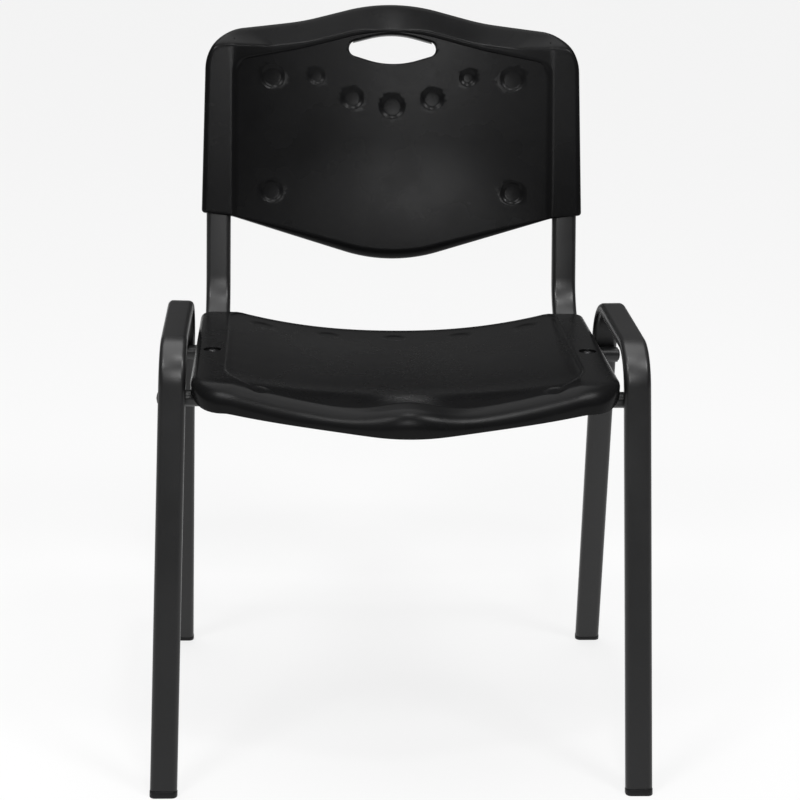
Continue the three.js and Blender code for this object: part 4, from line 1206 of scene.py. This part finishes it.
def back_rolled(points):
    """Points of a ring on the back's face, which leans back in a slope and rounds at the edge."""
    heights = []
    for i, p in enumerate(points):
        lean = back_leans[i]
        distance = (shell_line[i] - p).dot(back_normals[i])
        reach = min(1, max(0, 1 - distance / back_rolls[i]))
        near = min(1, max(0, 1 - distance / edge_reach))
        drop = back_falls[i] * (lean * reach + (1 - lean) * (1 - math.sqrt(1 - reach * reach)))
        drop += edge_round * lean * (1 - math.sqrt(1 - near * near))
        heights.append(back_face(p.x, p.y) - sunk(p) - drop)
    return at_heights(points, heights)


print("roll of the back's edge:", round(min(back_rolls) / MM, 1), "to", round(max(back_rolls) / MM, 1), "mm")

# %% Back rings
def hollow(points, lower=0):
    """The hollow's face, a wall's thickness behind the front one, also where that leans back."""
    depths = []
    for p, front in zip(points, back_rolled(points)):
        face = back_face(p.x, p.y)
        low = lower * smooth(-p.y, 20 * MM, 60 * MM)
        behind = min(face - back_step - back_wall - low, front.z - sleeve_wall)
        depths.append(max(face - 2 * sleeve_face + gap, behind))
    return depths


def back_rings():
    panel = crossing(shell_line, back_middle, panel_line)
    rings = [back_rolled(from_middle(back_middle, panel, share)) for share in panel_shares]
    for share in (0, 0.1, 0.25, 0.45, 0.7, 1):
        crest = []
        for p, q in zip(panel, shell_line):
            width = min(side_step_width, (q - p).length * 0.4)
            crest.append(p + (q - p).normalized() * width * share)
        rings.append(back_rolled(crest))
    rings += [back_rolled(between(crest, shell_line, share)) for share in edge_shares]
    rear = [back_face(p.x, p.y) - 2 * sleeve_face for p in shell_line]
    for inward, rise in ((0, 2.6), (0.2, 1.6), (0.75, 0.75), (1.6, 0.2), (2.6, 0)):
        rings.append(at_heights(drawn_in(shell_line, inward * MM), [z + rise * MM for z in rear]))
    inner_half = rail_x - tube_width / 2 - gap - sleeve_wall
    rim = [
        Vector((min(inner_half, max(-inner_half, p.x)), p.y)) for p in drawn_in(shell_line, 3.2 * MM)
    ]
    deep = hollow(rim, 7 * MM)
    for share in (0, 0.3, 0.65, 1):
        rings.append(at_heights(rim, [mix_of(z, d, share) for z, d in zip(rear, deep)]))
    for share in (0.96, 0.9, 0.8, 0.68, 0.55, 0.42, 0.3, 0.18, 0.06):
        ring = from_middle(back_middle, rim, share)
        rings.append(at_heights(ring, hollow(ring)))
    return rings


face_middle = back_face(*back_middle) - back_step
back = lay_skin(
    "back_moulding", back_rings(),
    Vector((*back_middle, face_middle)), Vector((*back_middle, face_middle - back_wall)),
)

# %% [markdown]
# ## The hand hole
# The hole has a rounded lip in front and a short collar behind, which the fingers close on. Its
# cutter and its collar are two more skins of the same kind, laid on lines round the hole.

# %% Hand hole
hole_height = back_top - 64.4 * MM
hole_half, hole_rise, hole_drop, hole_depth = 78.3 * MM, 21 * MM, 23.3 * MM, 26 * MM
hole_corner, hole_round = 9 * MM, 109 * MM
flare_above, clear = 3 * MM, 3 * MM
hole_middle = Vector((0, hole_height))


def hole_line(swell):
    """The hole's outline, larger all round by swell."""
    end, corner = hole_half + swell, hole_corner + swell
    return split_long(rounded((
        (end, hole_height, corner), (0, hole_height + hole_rise + swell, hole_round),
        (-end, hole_height, corner), (0, hole_height - hole_drop - swell, hole_round),
    ), chord=3 * MM))


def at_depth(points, depths):
    if not isinstance(depths, list):
        depths = [depths] * len(points)
    return at_heights(points, [back_face(p.x, p.y) - d for p, d in zip(points, depths)])


def hole_skin(name, rings, first_depth, last_depth):
    face = back_face(*hole_middle)
    first, last = (Vector((*hole_middle, face - depth)) for depth in (first_depth, last_depth))
    return lay_skin(name, rings, first, last)


hole = hole_line(0)
flare = [mix_of(flare_above, 8 * MM, smooth(n.y, -0.4, 0.9)) for n in outward(hole)]
level_below = [mix_of(back_step, 0, smooth(n.y, -0.2, 0.2)) for n in outward(hole)]
rings = [at_depth(drawn_in(hole, [-f * 1.25 for f in flare]), -clear)]
for k in range(1, 13):
    angle = math.radians(8 + 82 * k / 12)
    edge = drawn_in(hole, [-f * (1 - math.sin(angle)) for f in flare])
    rings.append(at_depth(edge, [f * (1 - math.cos(angle)) + l for f, l in zip(flare, level_below)]))
rings.append(at_depth(hole, hole_depth))
cutter = hole_skin("hole_cutter", rings, -clear, hole_depth)

# %% Collar
collar_line = hole_line(4 * MM)
collar_front, collar_rear = back_step + 2 * MM, 17 * MM
rings = [at_depth(collar_line, collar_front)]
for inward, depth in ((0, 15.5), (0.6, 16.6), (1.6, 17)):
    rings.append(at_depth(drawn_in(collar_line, inward * MM), depth * MM))
collar = hole_skin("collar", rings, collar_front, collar_rear)
combine(back, [collar], "UNION")

# %% Dimples, sleeve bores and the cut
back_foot, bore_start = 560 * MM, 20 * MM
dimple_depth, dimple_reach = 2 * MM, 12 * MM
back_dimples = (
    (0, 0.573, 0.078), (0.252, 0.615, 0.07), (0.476, 0.728, 0.054),
    (0.753, 0.72, 0.076), (0.757, 0.117, 0.073),
)
cutters = [cutter]
for across_share, up_share, size in back_dimples:
    for side in (-1, 1) if across_share else (1,):
        x, y = side * across_share * back_panel_half, up_share * (back_top - grip_height)
        place = Vector((x, y, back_face(x, y) - back_step))
        profile = dimple_profile(size * back_panel_half, dimple_depth)
        cutters.append(turned_disc("dimple", place, slope_turn(back_face, x, y, dimple_reach), profile))
bore_top = (upright_top - back_foot) / math.cos(recline) + gap
for side in (-1, 1):
    bore = tube_start("bore", Vector((side * rail_x, -bore_start, 0)), math.pi / 2, gap)
    bpy.ops.mesh.select_all(action="SELECT")
    move_faces((0, bore_top + bore_start, 0))
    leave_edit()
    cutters.append(bore)
combine(back, cutters, "DIFFERENCE")
back.rotation_euler = (math.pi / 2 - recline, 0, 0)
back.location = (0, upright_y(back_foot), back_foot)
hand_over(back, "shell_plastic", "back_shell", angle=28)

# %% [markdown]
# ## Screws
# Pan head screws with a hexagon socket hold the seat and the back. One is modelled for each length:
# a disc is built up ring by ring into shaft and head, and the socket is cut into it. Each is copied
# to both sides and turned the way that it is driven.

# %% One screw
def pan_screw(length):
    head = turned_disc(
        "screw", Vector((0, 0, 0)), up_turn,
        ((1.4 * MM, length - 0.3 * MM), (2.2 * MM, length - 3 * MM), (2.25 * MM, 0), (4.4 * MM, -0.01 * MM),
         (4.5 * MM, -0.8 * MM), (4.2 * MM, -1.7 * MM), (3.6 * MM, -2.3 * MM), (3.0 * MM, -2.55 * MM),
         (2.4 * MM, -2.6 * MM)),
        vertices=24,
    )
    bpy.ops.object.select_all(action="DESELECT")
    bpy.ops.mesh.primitive_cylinder_add(
        vertices=6, radius=1.6 * MM, depth=3 * MM, location=(0, 0, -2.8 * MM)
    )
    combine(head, [bpy.context.object], "DIFFERENCE")
    return head


# %% Six screws
well_depth, back_screw_height = 3.2 * MM, 28 * MM
driven_down = Matrix.Rotation(math.pi, 4, "X")
driven_up = Matrix.Identity(4)
driven_forward = Matrix.Rotation(math.pi / 2 - recline, 4, "X")
seat_spot = Vector((rail_x, well_y + shift.y, seat_base(rail_x, well_y) - well_depth))
cross_spot = Vector((boss_x, front_cross.y, front_cross.z - cross_radius - gap))
back_spot = Vector((rail_x, upright_y(back_foot), back_foot))
back_spot += driven_forward @ Vector((0, back_screw_height, -sleeve_face - gap))
for name, length, place, turn in (
    ("seat_screw", 16, seat_spot, driven_down),
    ("cross_screw", 25, cross_spot, driven_up),
    ("back_screw", 14, back_spot, driven_forward),
):
    first = pan_screw(length * MM)
    for side, hand in hands:
        screw = twin(first, f"{hand}_{name}_black")
        screw.matrix_world = Matrix.Translation((side * place.x, place.y, place.z)) @ turn
        hand_over(screw, "screw_steel", f"{hand}_{name}")
    bpy.data.objects.remove(first)

# %% [markdown]
# ## Solids that stay
# The plug in each rail's front end is hidden under the seat. Its solid is right as it is and only
# gets the plug's finish.

# %% Finish for the solids that stay
for hand in ("left", "right"):
    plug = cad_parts[f"{hand}_rail_plug"]
    for slot in plug.material_slots:
        slot.material = plug_plastic
    print(plug.name, "has", [slot.material.name for slot in plug.material_slots])
